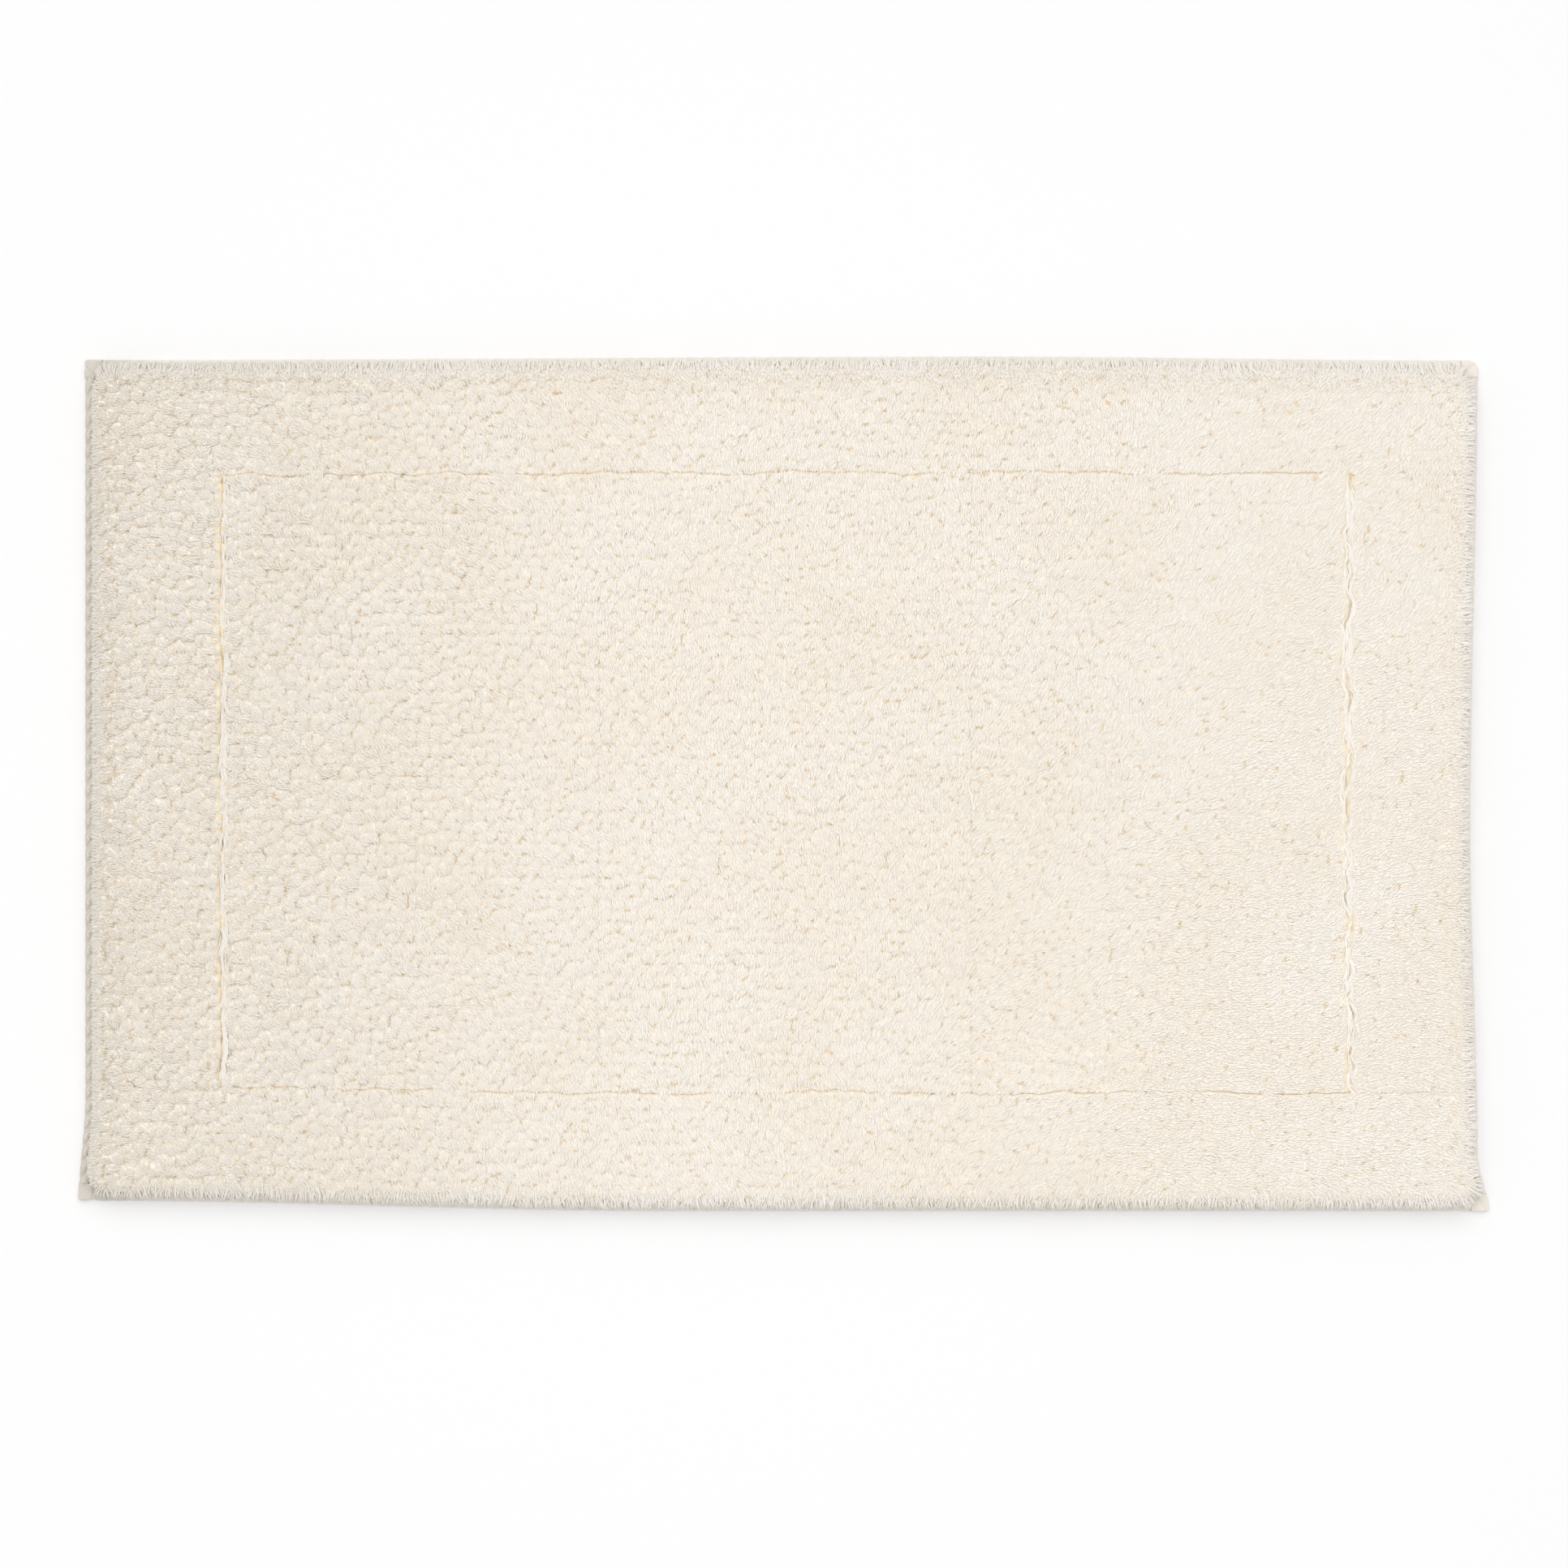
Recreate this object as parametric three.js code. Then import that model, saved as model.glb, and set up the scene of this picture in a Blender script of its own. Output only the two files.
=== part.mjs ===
// Tufted cotton bath mat, lying flat with its pile up.
// Millimetres, +X along the length, +Y towards the back edge, +Z up, origin on the floor below the middle.

import * as THREE from 'three';
import { mergeVertices } from 'three/addons/utils/BufferGeometryUtils.js';

// Outline
const LENGTH = 990;
const WIDTH = 606;
const CORNER_RADIUS = 6;

// Distance from each edge to the middle of the groove
const BORDER_LEFT = 99;
const BORDER_RIGHT = 92;
const BORDER_FRONT = 85;
const BORDER_BACK = 83;
const GROOVE_WIDTH = 6;

// Plies, from the floor up
const LATEX_THICKNESS = 1.2;
const CLOTH_THICKNESS = 1;
const TAPE_THICKNESS = 1.2;
const PILE_HEIGHT = 19;
const PILE_CROWN = 4; // how far a pile field's top edge rounds over

// Hem
const HEM_WIDTH = 12; // tape under the mat, and the side of a corner tuck
const HEM_LIP = 7; // tape on top of the mat, outside the pile
const TAPE_FOLD = 0.8; // chamfer along the folded edge
const THREAD_THICKNESS = 0.8;
const STITCH_PITCH = 11.5;
const TUCK_STITCH_PITCH = 1.8;
const TUCK_STITCH_REACH = 1; // either side of the joint between tuck and tape

const PLY_GAP = 0.3; // air between neighbouring pieces
const ARC_STEPS = 5; // points on a rounded corner
const CROWN_STEPS = 3;

const halfLength = LENGTH / 2;
const halfWidth = WIDTH / 2;
const clothBottom = Math.max(LATEX_THICKNESS, TAPE_THICKNESS) + PLY_GAP;
const clothTop = clothBottom + CLOTH_THICKNESS;
const latexTop = clothBottom - PLY_GAP;
const lipBottom = clothTop + PLY_GAP;
const lipTop = lipBottom + TAPE_THICKNESS;
const pileBottom = clothTop + PLY_GAP;
const pileTop = pileBottom + PILE_HEIGHT;
const pileInset = HEM_LIP + PLY_GAP;
const tuckSpace = HEM_WIDTH + PLY_GAP;
// Smallest corner radius of the pile that leaves the square tuck clear
const pileCorner = Math.max(tuckSpace - pileInset, 0) * (2 + Math.SQRT2);

const cotton = (color, roughness) => new THREE.MeshStandardMaterial({ color, roughness, metalness: 0 });
const creamPile = cotton(0xf3ebdc, 0.95);
const ecruCloth = cotton(0xe3d6c0, 0.9);
const creamTape = cotton(0xe9e1d2, 0.88);
const paleThread = cotton(0xefe8da, 0.8);
const milkyLatex = cotton(0xe8e2d4, 0.6);

const mat = new THREE.Group();

function addPiece(name, geometry, material) {
  const mesh = new THREE.Mesh(geometry, material);
  mesh.name = name;
  mat.add(mesh);
  return mesh;
}

// Rectangle as a counter-clockwise ring of points, with a radius at each corner:
// front left, front right, back right, back left. inset moves every side inwards.
function ring({ left, right, front, back, radii }, inset) {
  const corners = [
    [left, front, 1, 1, Math.PI],
    [right, front, -1, 1, Math.PI * 1.5],
    [right, back, -1, -1, 0],
    [left, back, 1, -1, Math.PI / 2],
  ];
  return corners.flatMap(([x, y, inX, inY, start], i) => {
    const radius = Math.max(radii[i] - inset, 0);
    const cx = x + inX * (inset + radius);
    const cy = y + inY * (inset + radius);
    if (radii[i] === 0) return [new THREE.Vector2(cx, cy)];
    return Array.from({ length: ARC_STEPS }, (_, k) => {
      const angle = start + (k / (ARC_STEPS - 1)) * (Math.PI / 2);
      return new THREE.Vector2(cx + radius * Math.cos(angle), cy + radius * Math.sin(angle));
    });
  });
}

// Closed solid through rings stacked from the lowest level to the highest.
function stack(outline, levels) {
  const rings = levels.map(({ z, inset }) => ring(outline, inset).map((p) => [p.x, p.y, z]));
  const count = rings[0].length;
  const index = [];
  for (let level = 0; level + 1 < rings.length; level += 1) {
    for (let i = 0; i < count; i += 1) {
      const a = level * count + i;
      const b = level * count + ((i + 1) % count);
      index.push(a, b, b + count, a, b + count, a + count);
    }
  }
  const top = (rings.length - 1) * count;
  for (let i = 1; i + 1 < count; i += 1) {
    index.push(0, i + 1, i, top, top + i, top + i + 1);
  }
  const geometry = new THREE.BufferGeometry();
  geometry.setAttribute('position', new THREE.Float32BufferAttribute(rings.flat(2), 3));
  geometry.setIndex(index);
  geometry.computeVertexNormals();
  return geometry;
}

// A pile field stands straight up and rounds over by PILE_CROWN at its top edge.
function pileField(outline) {
  const levels = [{ z: pileBottom, inset: 0 }];
  for (let k = 0; k <= CROWN_STEPS; k += 1) {
    const angle = ((k / CROWN_STEPS) * Math.PI) / 2;
    levels.push({
      z: pileTop - PILE_CROWN * (1 - Math.sin(angle)),
      inset: PILE_CROWN * (1 - Math.cos(angle)),
    });
  }
  return stack(outline, levels);
}

// Ground cloth: it reaches the fold of each hem tape, and its corners are clipped for the tucks.
function groundCloth() {
  const x = halfLength - TAPE_THICKNESS - PLY_GAP;
  const y = halfWidth - TAPE_THICKNESS - PLY_GAP;
  const clipX = halfLength - tuckSpace;
  const clipY = halfWidth - tuckSpace;
  const shape = new THREE.Shape([
    new THREE.Vector2(-clipX, -y), new THREE.Vector2(clipX, -y),
    new THREE.Vector2(clipX, -clipY), new THREE.Vector2(x, -clipY),
    new THREE.Vector2(x, clipY), new THREE.Vector2(clipX, clipY),
    new THREE.Vector2(clipX, y), new THREE.Vector2(-clipX, y),
    new THREE.Vector2(-clipX, clipY), new THREE.Vector2(-x, clipY),
    new THREE.Vector2(-x, -clipY), new THREE.Vector2(-clipX, -clipY),
  ]);
  const geometry = new THREE.ExtrudeGeometry(shape, { depth: CLOTH_THICKNESS, bevelEnabled: false });
  return geometry.translate(0, 0, clothBottom);
}

// Hem tape, folded round the cloth's edge: a wide leg below, the fold, and the lip on top.
// Section x runs inwards from the edge and section y is height.
function hemTape(run) {
  const fold = TAPE_FOLD;
  const wall = TAPE_THICKNESS;
  const shape = new THREE.Shape([
    new THREE.Vector2(fold, 0), new THREE.Vector2(HEM_WIDTH, 0),
    new THREE.Vector2(HEM_WIDTH, wall), new THREE.Vector2(wall, wall),
    new THREE.Vector2(wall, lipBottom), new THREE.Vector2(HEM_LIP, lipBottom),
    new THREE.Vector2(HEM_LIP, lipTop), new THREE.Vector2(fold, lipTop),
    new THREE.Vector2(0, lipTop - fold), new THREE.Vector2(0, fold),
  ]);
  return new THREE.ExtrudeGeometry(shape, { depth: run, bevelEnabled: false }).translate(0, 0, -run / 2);
}

// A zigzag of thread, flat on the hem and running along section z, between two distances from the
// mat's edge. The band is as wide across the run as keeps each leg THREAD_THICKNESS wide.
function zigzag(near, far, run, pitch) {
  const legs = 2 * Math.max(Math.round(run / pitch), 1);
  const legRun = run / legs;
  const bends = Array.from({ length: legs + 1 }, (_, i) => {
    return new THREE.Vector2(i % 2 ? near : far, i * legRun - run / 2);
  });
  const across = (THREAD_THICKNESS / 2) * (Math.hypot(far - near, legRun) / legRun);
  const offset = new THREE.Vector2(across, 0);
  const shape = new THREE.Shape([
    ...bends.map((bend) => bend.clone().add(offset)).reverse(),
    ...bends.map((bend) => bend.clone().sub(offset)),
  ]);
  const geometry = new THREE.ExtrudeGeometry(shape, { depth: THREAD_THICKNESS, bevelEnabled: false });
  return geometry.rotateX(-Math.PI / 2).translate(0, lipTop + PLY_GAP, 0);
}

// The four edges. Each frame has section x pointing inwards from the edge, section y up and
// section z along the edge.
const edges = {
  front: { at: [0, -halfWidth], inwards: [0, 1], run: LENGTH - 2 * tuckSpace },
  right: { at: [halfLength, 0], inwards: [-1, 0], run: WIDTH - 2 * tuckSpace },
  back: { at: [0, halfWidth], inwards: [0, -1], run: LENGTH - 2 * tuckSpace },
  left: { at: [-halfLength, 0], inwards: [1, 0], run: WIDTH - 2 * tuckSpace },
};

function placeOnEdge(geometry, { at, inwards }) {
  const inward = new THREE.Vector3(inwards[0], inwards[1], 0);
  const up = new THREE.Vector3(0, 0, 1);
  const along = new THREE.Vector3().crossVectors(inward, up);
  const place = new THREE.Matrix4().makeBasis(inward, up, along).setPosition(at[0], at[1], 0);
  return closed(geometry.applyMatrix4(place));
}

// Extruded geometry with its shared corners merged.
function closed(geometry) {
  geometry.deleteAttribute('normal');
  geometry.deleteAttribute('uv');
  const merged = mergeVertices(geometry);
  merged.computeVertexNormals();
  return merged;
}

const threadNear = TAPE_FOLD + THREAD_THICKNESS;
const threadFar = HEM_LIP - THREAD_THICKNESS;

for (const [side, edge] of Object.entries(edges)) {
  addPiece(`hem_tape_${side}`, placeOnEdge(hemTape(edge.run), edge), creamTape);
  const stitches = zigzag(threadNear, threadFar, edge.run - 2 * STITCH_PITCH, STITCH_PITCH);
  addPiece(`hem_thread_${side}`, placeOnEdge(stitches, edge), paleThread);
}

// A tuck fills the clipped corner: folded cloth from the floor to the top of the lip.
for (const [name, sideX, sideY] of [
  ['front_left', -1, -1], ['front_right', 1, -1], ['back_right', 1, 1], ['back_left', -1, 1],
]) {
  const x = [sideX * halfLength, sideX * (halfLength - HEM_WIDTH)];
  const y = [sideY * halfWidth, sideY * (halfWidth - HEM_WIDTH)];
  const outline = {
    left: Math.min(...x), right: Math.max(...x), front: Math.min(...y), back: Math.max(...y),
    radii: [[-1, -1], [1, -1], [1, 1], [-1, 1]].map(([cx, cy]) => {
      return cx === sideX && cy === sideY ? CORNER_RADIUS : 0;
    }),
  };
  const tuck = stack(outline, [
    { z: 0, inset: 0 }, { z: lipTop - TAPE_FOLD, inset: 0 }, { z: lipTop, inset: TAPE_FOLD },
  ]);
  addPiece(`corner_tuck_${name}`, tuck, creamTape);

  // Its seam is a small zigzag across the joint between the tuck and the side tape.
  const seamRun = HEM_LIP - 2 * TAPE_FOLD;
  const joint = HEM_WIDTH + PLY_GAP / 2;
  const seam = zigzag(-TUCK_STITCH_REACH, TUCK_STITCH_REACH, seamRun, TUCK_STITCH_PITCH);
  const seamFrame = {
    at: [sideX * (halfLength - HEM_LIP / 2), sideY * (halfWidth - joint)],
    inwards: [0, -sideY],
  };
  addPiece(`tuck_thread_${name}`, placeOnEdge(seam, seamFrame), paleThread);
}

// Ground cloth, with the latex on its back between the hems
addPiece('ground_cloth', closed(groundCloth()), ecruCloth);
const square = [0, 0, 0, 0];
const latexOutline = {
  left: -halfLength + tuckSpace, right: halfLength - tuckSpace,
  front: -halfWidth + tuckSpace, back: halfWidth - tuckSpace, radii: square,
};
const latex = stack(latexOutline, [
  { z: latexTop - LATEX_THICKNESS, inset: 0 }, { z: latexTop, inset: 0 },
]);
addPiece('tuft_lock_latex', latex, milkyLatex);

// Pile fields. The long borders run the whole length and the side borders lie between them.
const halfGroove = GROOVE_WIDTH / 2;
const grooveLeft = -halfLength + BORDER_LEFT;
const grooveRight = halfLength - BORDER_RIGHT;
const grooveFront = -halfWidth + BORDER_FRONT;
const grooveBack = halfWidth - BORDER_BACK;
const pileLeft = -halfLength + pileInset;
const pileRight = halfLength - pileInset;

addPiece('centre_pile', pileField({
  left: grooveLeft + halfGroove, right: grooveRight - halfGroove,
  front: grooveFront + halfGroove, back: grooveBack - halfGroove, radii: square,
}), creamPile);
addPiece('border_pile_front', pileField({
  left: pileLeft, right: pileRight,
  front: -halfWidth + pileInset, back: grooveFront - halfGroove, radii: [pileCorner, pileCorner, 0, 0],
}), creamPile);
addPiece('border_pile_back', pileField({
  left: pileLeft, right: pileRight,
  front: grooveBack + halfGroove, back: halfWidth - pileInset, radii: [0, 0, pileCorner, pileCorner],
}), creamPile);
const sideSpan = {
  front: grooveFront - halfGroove + PLY_GAP, back: grooveBack + halfGroove - PLY_GAP, radii: square,
};
addPiece('border_pile_left', pileField({
  left: pileLeft, right: grooveLeft - halfGroove, ...sideSpan,
}), creamPile);
addPiece('border_pile_right', pileField({
  left: grooveRight + halfGroove, right: pileRight, ...sideSpan,
}), creamPile);

export default mat;
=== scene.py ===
"""Tufted cotton bath mat: long cut pile on a ground cloth, with a plain groove framing the centre.

Metres, +X along the length, +Y towards the back edge, +Z up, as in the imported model.
"""

import math

import bpy
import numpy as np
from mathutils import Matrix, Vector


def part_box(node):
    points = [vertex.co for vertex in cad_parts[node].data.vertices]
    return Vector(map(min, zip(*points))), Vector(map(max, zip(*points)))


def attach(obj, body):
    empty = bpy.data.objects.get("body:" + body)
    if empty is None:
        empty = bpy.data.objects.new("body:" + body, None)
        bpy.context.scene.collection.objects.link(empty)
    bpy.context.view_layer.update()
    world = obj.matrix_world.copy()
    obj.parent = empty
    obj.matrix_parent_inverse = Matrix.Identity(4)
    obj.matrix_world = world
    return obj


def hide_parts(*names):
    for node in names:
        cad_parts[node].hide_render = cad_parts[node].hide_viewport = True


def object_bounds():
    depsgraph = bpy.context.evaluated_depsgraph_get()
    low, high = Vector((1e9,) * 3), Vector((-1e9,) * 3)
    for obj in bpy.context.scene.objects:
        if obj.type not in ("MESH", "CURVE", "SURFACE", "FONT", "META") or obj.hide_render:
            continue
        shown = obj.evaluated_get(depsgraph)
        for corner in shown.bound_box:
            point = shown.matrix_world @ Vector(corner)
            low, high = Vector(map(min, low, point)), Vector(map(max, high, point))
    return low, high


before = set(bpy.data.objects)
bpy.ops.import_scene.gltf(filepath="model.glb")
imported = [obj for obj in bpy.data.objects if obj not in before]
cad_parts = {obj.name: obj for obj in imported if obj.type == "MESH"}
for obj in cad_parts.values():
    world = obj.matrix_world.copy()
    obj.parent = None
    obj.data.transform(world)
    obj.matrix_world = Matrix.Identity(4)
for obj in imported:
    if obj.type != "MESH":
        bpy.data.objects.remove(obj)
cad_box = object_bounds()

MM = 0.001

# The mat's own sizes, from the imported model
low, high = cad_box
HALF_LENGTH = (high.x - low.x) / 2
HALF_WIDTH = (high.y - low.y) / 2
TOP = high.z
PILE_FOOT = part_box("centre_pile")[0].z
PILE_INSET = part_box("border_pile_left")[0].x - low.x
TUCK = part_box("corner_tuck_front_left")[1].x - low.x
LIP_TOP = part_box("hem_tape_left")[1].z
LIP_REACH = PILE_INSET - 0.3 * MM
HEM_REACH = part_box("hem_tape_left")[1].x - low.x
TAPE_WALL = 1.2 * MM
STITCH_PITCH = 11.5 * MM
TUCK_SIZE = 12.0 * MM
PILE_CORNER = 17 * MM

GROOVE_LEFT = (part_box("border_pile_left")[1].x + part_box("centre_pile")[0].x) / 2
GROOVE_RIGHT = (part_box("border_pile_right")[0].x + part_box("centre_pile")[1].x) / 2
GROOVE_FRONT = (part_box("border_pile_front")[1].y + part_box("centre_pile")[0].y) / 2
GROOVE_BACK = (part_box("border_pile_back")[0].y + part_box("centre_pile")[1].y) / 2

# Pile
LOCK_PITCH = 9.0 * MM  # locks are the little bunches that the cut yarn gathers into
LOCK_ROW = 7.8 * MM
HALF_LOCK = 5.3 * MM
HALF_LOCK_WIDTH = 4.7 * MM
LOCK_RAMP = 0.65 * MM  # a lock's tip end stands higher than its root end
LOCK_CROWN = 1.65 * MM  # and its middle higher than its rim
TUFT_PITCH = 1.48 * MM
TUFT_REACH = 7.2 * MM  # how far a tuft lies over sideways
TUFT_WIDTH = 0.92 * MM
EDGE_TUFTS_PER_METRE = 8600
TUFTS_PER_PIECE = 18500
EDGE_TUFTS_PER_PIECE = 11500
BED_DEPTH = 0.75 * MM  # below the tufts' backs
BED_STEP = 1.9 * MM
BED_LEAN = 14 * MM  # how far from a groove the bed starts to lean over it
TUFT_BELLY = 0.12  # a tuft's section: its two sides and its ridge, as shares of half its width
TUFT_RIDGE = 0.25
HEM_THREAD = 0.36 * MM
TUCK_THREAD = 0.3 * MM
THREAD_TWIST = 2.2 * MM  # length of one turn of a sewing thread
CORD_LOBE = 0.28  # how deep the twist of a sewing thread is, as a share of its radius


# ---------------------------------------------------------------- shapes in numbers


def smooth(low_end, high_end, value):
    """0 below low_end, 1 above high_end and an eased step between; the ends may be swapped."""
    share = np.clip((value - low_end) / (high_end - low_end), 0, 1)
    return share * share * (3 - 2 * share)


def through(value, *stations):
    """Eased curve through (place, amount) pairs, given in order of place."""
    total = stations[0][1]
    for (start, before), (stop, after) in zip(stations, stations[1:]):
        total = total + (after - before) * smooth(start, stop, value)
    return total


def drift(x, y, size, seed):
    """Soft random waves between about -1 and 1, with bumps the given size apart."""
    lattice = np.random.default_rng(seed).uniform(-1, 1, (64, 64))
    u, v = np.asarray(x) / size + 1000.3, np.asarray(y) / size + 1000.7
    i, j = np.floor(u).astype(int), np.floor(v).astype(int)
    s, t = u - i, v - j
    s, t = s * s * (3 - 2 * s), t * t * (3 - 2 * t)
    a, b = lattice[i % 64, j % 64], lattice[(i + 1) % 64, j % 64]
    c, d = lattice[i % 64, (j + 1) % 64], lattice[(i + 1) % 64, (j + 1) % 64]
    return (a * (1 - s) + b * s) * (1 - t) + (c * (1 - s) + d * s) * t


def lie(points):
    """Moves points from the true rectangle to the way the mat really lies, a little out of square."""
    p = np.array(points, float)
    x, y = p[..., 0], p[..., 1]
    across, along = x / HALF_LENGTH, y / HALF_WIDTH
    left = through(along, (-1, -4.6 * MM), (-0.75, 0))
    right = through(along, (-1, 9.8 * MM), (-0.86, 2.3 * MM), (-0.12, -2.9 * MM), (1, 2.3 * MM))
    back = through(across, (-1, -0.9 * MM), (0.3, 1.6 * MM), (1, -1.3 * MM))
    front = through(across, (-1, 6.2 * MM), (-0.15, -1.3 * MM))
    moved = p.copy()
    moved[..., 0] = x + left * smooth(-0.72, -1.0, across) + right * smooth(0.72, 1.0, across)
    moved[..., 1] = y + back * smooth(0.4, 1.0, along) + front * smooth(-0.4, -1.0, along)
    return moved


def from_edge(x, y, inset, radius):
    """Distance inside a rounded rectangle set in from the outline, and the outward direction."""
    px, py = np.abs(x) - (HALF_LENGTH - inset - radius), np.abs(y) - (HALF_WIDTH - inset - radius)
    ox, oy = np.maximum(px, 0), np.maximum(py, 0)
    out = np.hypot(ox, oy)
    inner = np.minimum(np.maximum(px, py), 0)
    in_corner = (px > 0) & (py > 0)
    nx = np.where(in_corner, ox / np.maximum(out, 1e-9), (px >= py) * 1.0)
    ny = np.where(in_corner, oy / np.maximum(out, 1e-9), (px < py) * 1.0)
    return radius - out - inner, nx * np.sign(x), ny * np.sign(y)


def pile_edge(x, y):
    """Distance inside the pile's own outline, and the outward direction."""
    return from_edge(x, y, PILE_INSET, PILE_CORNER)


class Groove:
    """Where the pile is parted. roots is half the bare gap between the tufts' roots, and tips is how
    far each side's tips keep from the middle. share is how much of its length stays open."""

    def __init__(self, at, along_x, start, stop, roots, tips, depth, wander, seed, share=1.0):
        self.at, self.along_x, self.start, self.stop = at, along_x, start, stop
        self.roots, self.tips, self.depth, self.wander = roots, tips, depth, wander
        self.seed, self.share = seed, share

    def middle(self, s):
        """Where the groove's middle wanders to at each place along it."""
        waves = drift(s, 0 * s, 23 * MM, self.seed) + 0.6 * drift(s, 0 * s, 6 * MM, self.seed + 1)
        return self.at + self.wander * waves

    def place(self, x, y):
        """Position along the groove, and signed distance from its middle."""
        s, d = (x, y) if self.along_x else (y, x)
        return s, d - self.middle(s)

    def presence(self, s):
        """1 where the groove is open, falling to 0 past its ends and where the pile covers it."""
        ends = smooth(self.start - 6 * MM, self.start + 4 * MM, s)
        ends = ends * smooth(self.stop + 6 * MM, self.stop - 4 * MM, s)
        if self.share >= 1:
            return ends
        still_open = smooth(-0.2, 0.2, drift(s, 0 * s, 13 * MM, self.seed + 7) + 2 * self.share - 1)
        return ends * still_open


def long_groove(at, start, stop, wander, seed, share):
    """A fine groove along the mat, here and there closed over by the pile."""
    return Groove(at, True, start, stop, 0.7 * MM, 0.4 * MM, 0.5 * MM, wander, seed, share)


def side_groove(at, roots, tips, depth, wander, seed):
    """A wide groove across the mat, open from end to end."""
    return Groove(at, False, GROOVE_FRONT, GROOVE_BACK, roots, tips, depth, wander, seed)


back_groove = long_groove(GROOVE_BACK, GROOVE_LEFT, GROOVE_RIGHT - 18 * MM, 1.6 * MM, 21, 0.76)
front_groove = long_groove(GROOVE_FRONT, GROOVE_LEFT + 6 * MM, GROOVE_RIGHT, 1.8 * MM, 22, 0.7)
left_groove = side_groove(GROOVE_LEFT, 2.9 * MM, 2.2 * MM, 1.2 * MM, 0.8 * MM, 23)
right_groove = side_groove(GROOVE_RIGHT, 3.8 * MM, 3.2 * MM, 1.4 * MM, 3.3 * MM, 24)
grooves = [back_groove, front_groove, left_groove, right_groove]


def parting(at, start, stop, wander, seed, share):
    """Where two rows of the pile fall away from each other without a gap below."""
    return Groove(at, True, start, stop, 0.5 * MM, 0.12 * MM, 0.6 * MM, wander, seed, share)


partings = [
    parting(GROOVE_BACK - 4 * MM, -HALF_LENGTH, GROOVE_LEFT, 2.5 * MM, 31, 0.5),
    parting(GROOVE_BACK - 3 * MM, GROOVE_RIGHT, HALF_LENGTH, 2.5 * MM, 32, 0.5),
    parting(GROOVE_FRONT - 3 * MM, -HALF_LENGTH, GROOVE_LEFT, 2.5 * MM, 33, 0.45),
    parting(GROOVE_FRONT - 2 * MM, GROOVE_RIGHT, HALF_LENGTH, 2.5 * MM, 34, 0.45),
    parting(GROOVE_BACK - 59 * MM, -470 * MM, GROOVE_LEFT - 10 * MM, 1.2 * MM, 35, 0.65),
    parting(GROOVE_FRONT + 69 * MM, -230 * MM, -150 * MM, 1.2 * MM, 36, 0.75),
]


RUFFLED_AT = (200 * MM, -198 * MM)
RUFFLED_REACH = (85 * MM, 24 * MM)


def ruffled(x, y):
    """1 inside the patch where the pile has been pushed up on end, by the front groove."""
    reach = np.hypot((x - RUFFLED_AT[0]) / RUFFLED_REACH[0], (y - RUFFLED_AT[1]) / RUFFLED_REACH[1])
    return smooth(1.25, 0.6, reach + 0.25 * drift(x, y, 14 * MM, 41))


def clumping(x, y):
    """How strongly the pile gathers into locks: most on the left, least on the right."""
    fade = 0.78 * smooth(-0.44, 0.0, x) + 0.2 * smooth(0.1, 0.45, x)
    return 1.25 - fade + 0.12 * drift(x, y, 70 * MM, 42) + 0.1 * ruffled(x, y)


def fall_direction(x, y):
    """The way the pile lies, in radians from +X."""
    across, along = x / HALF_LENGTH, y / HALF_WIDTH
    degrees = (
        -18 - 30 * smooth(-0.95, -0.6, across) - 42 * smooth(-0.6, 0.05, across)
        - (62 - 38 * along) * smooth(0.0, 0.75, across)
    )
    degrees = degrees + 20 * drift(x, y, 60 * MM, 43) + 12 * drift(x, y, 22 * MM, 44)
    return np.radians(degrees)


def edge_painted_shade(x, y):
    """Painted shade: how much darker the pile is coloured towards the outside of the mat, where its surface
    turns away from the light, most along the back and left.
    """
    sides = (
        (x + HALF_LENGTH, 0.85, 42 * MM), (HALF_LENGTH - x, 0.36, 30 * MM),
        (HALF_WIDTH - y, 0.85, 34 * MM), (y + HALF_WIDTH, 0.25, 30 * MM),
    )
    return sum(share * smooth(width, 3 * MM, inside) for inside, share, width in sides)


def crest(x, y):
    """General height of the pile: level in the fields, falling at the edges and grooves."""
    edge, _, _ = pile_edge(x, y)
    height = TOP - 1.0 * MM + 0.5 * MM * drift(x, y, 55 * MM, 45) + 0.3 * MM * drift(x, y, 18 * MM, 46)
    height = height - 3.6 * MM * (1 - np.clip((edge + 1 * MM) / (8 * MM), 0, 1)) ** 2
    for groove in grooves + partings:
        s, d = groove.place(x, y)
        near = np.clip(np.abs(d) / (groove.roots + 3 * MM), 0, 1)
        height = height - groove.depth * groove.presence(s) * (1 - near) ** 2
    return height


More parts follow.
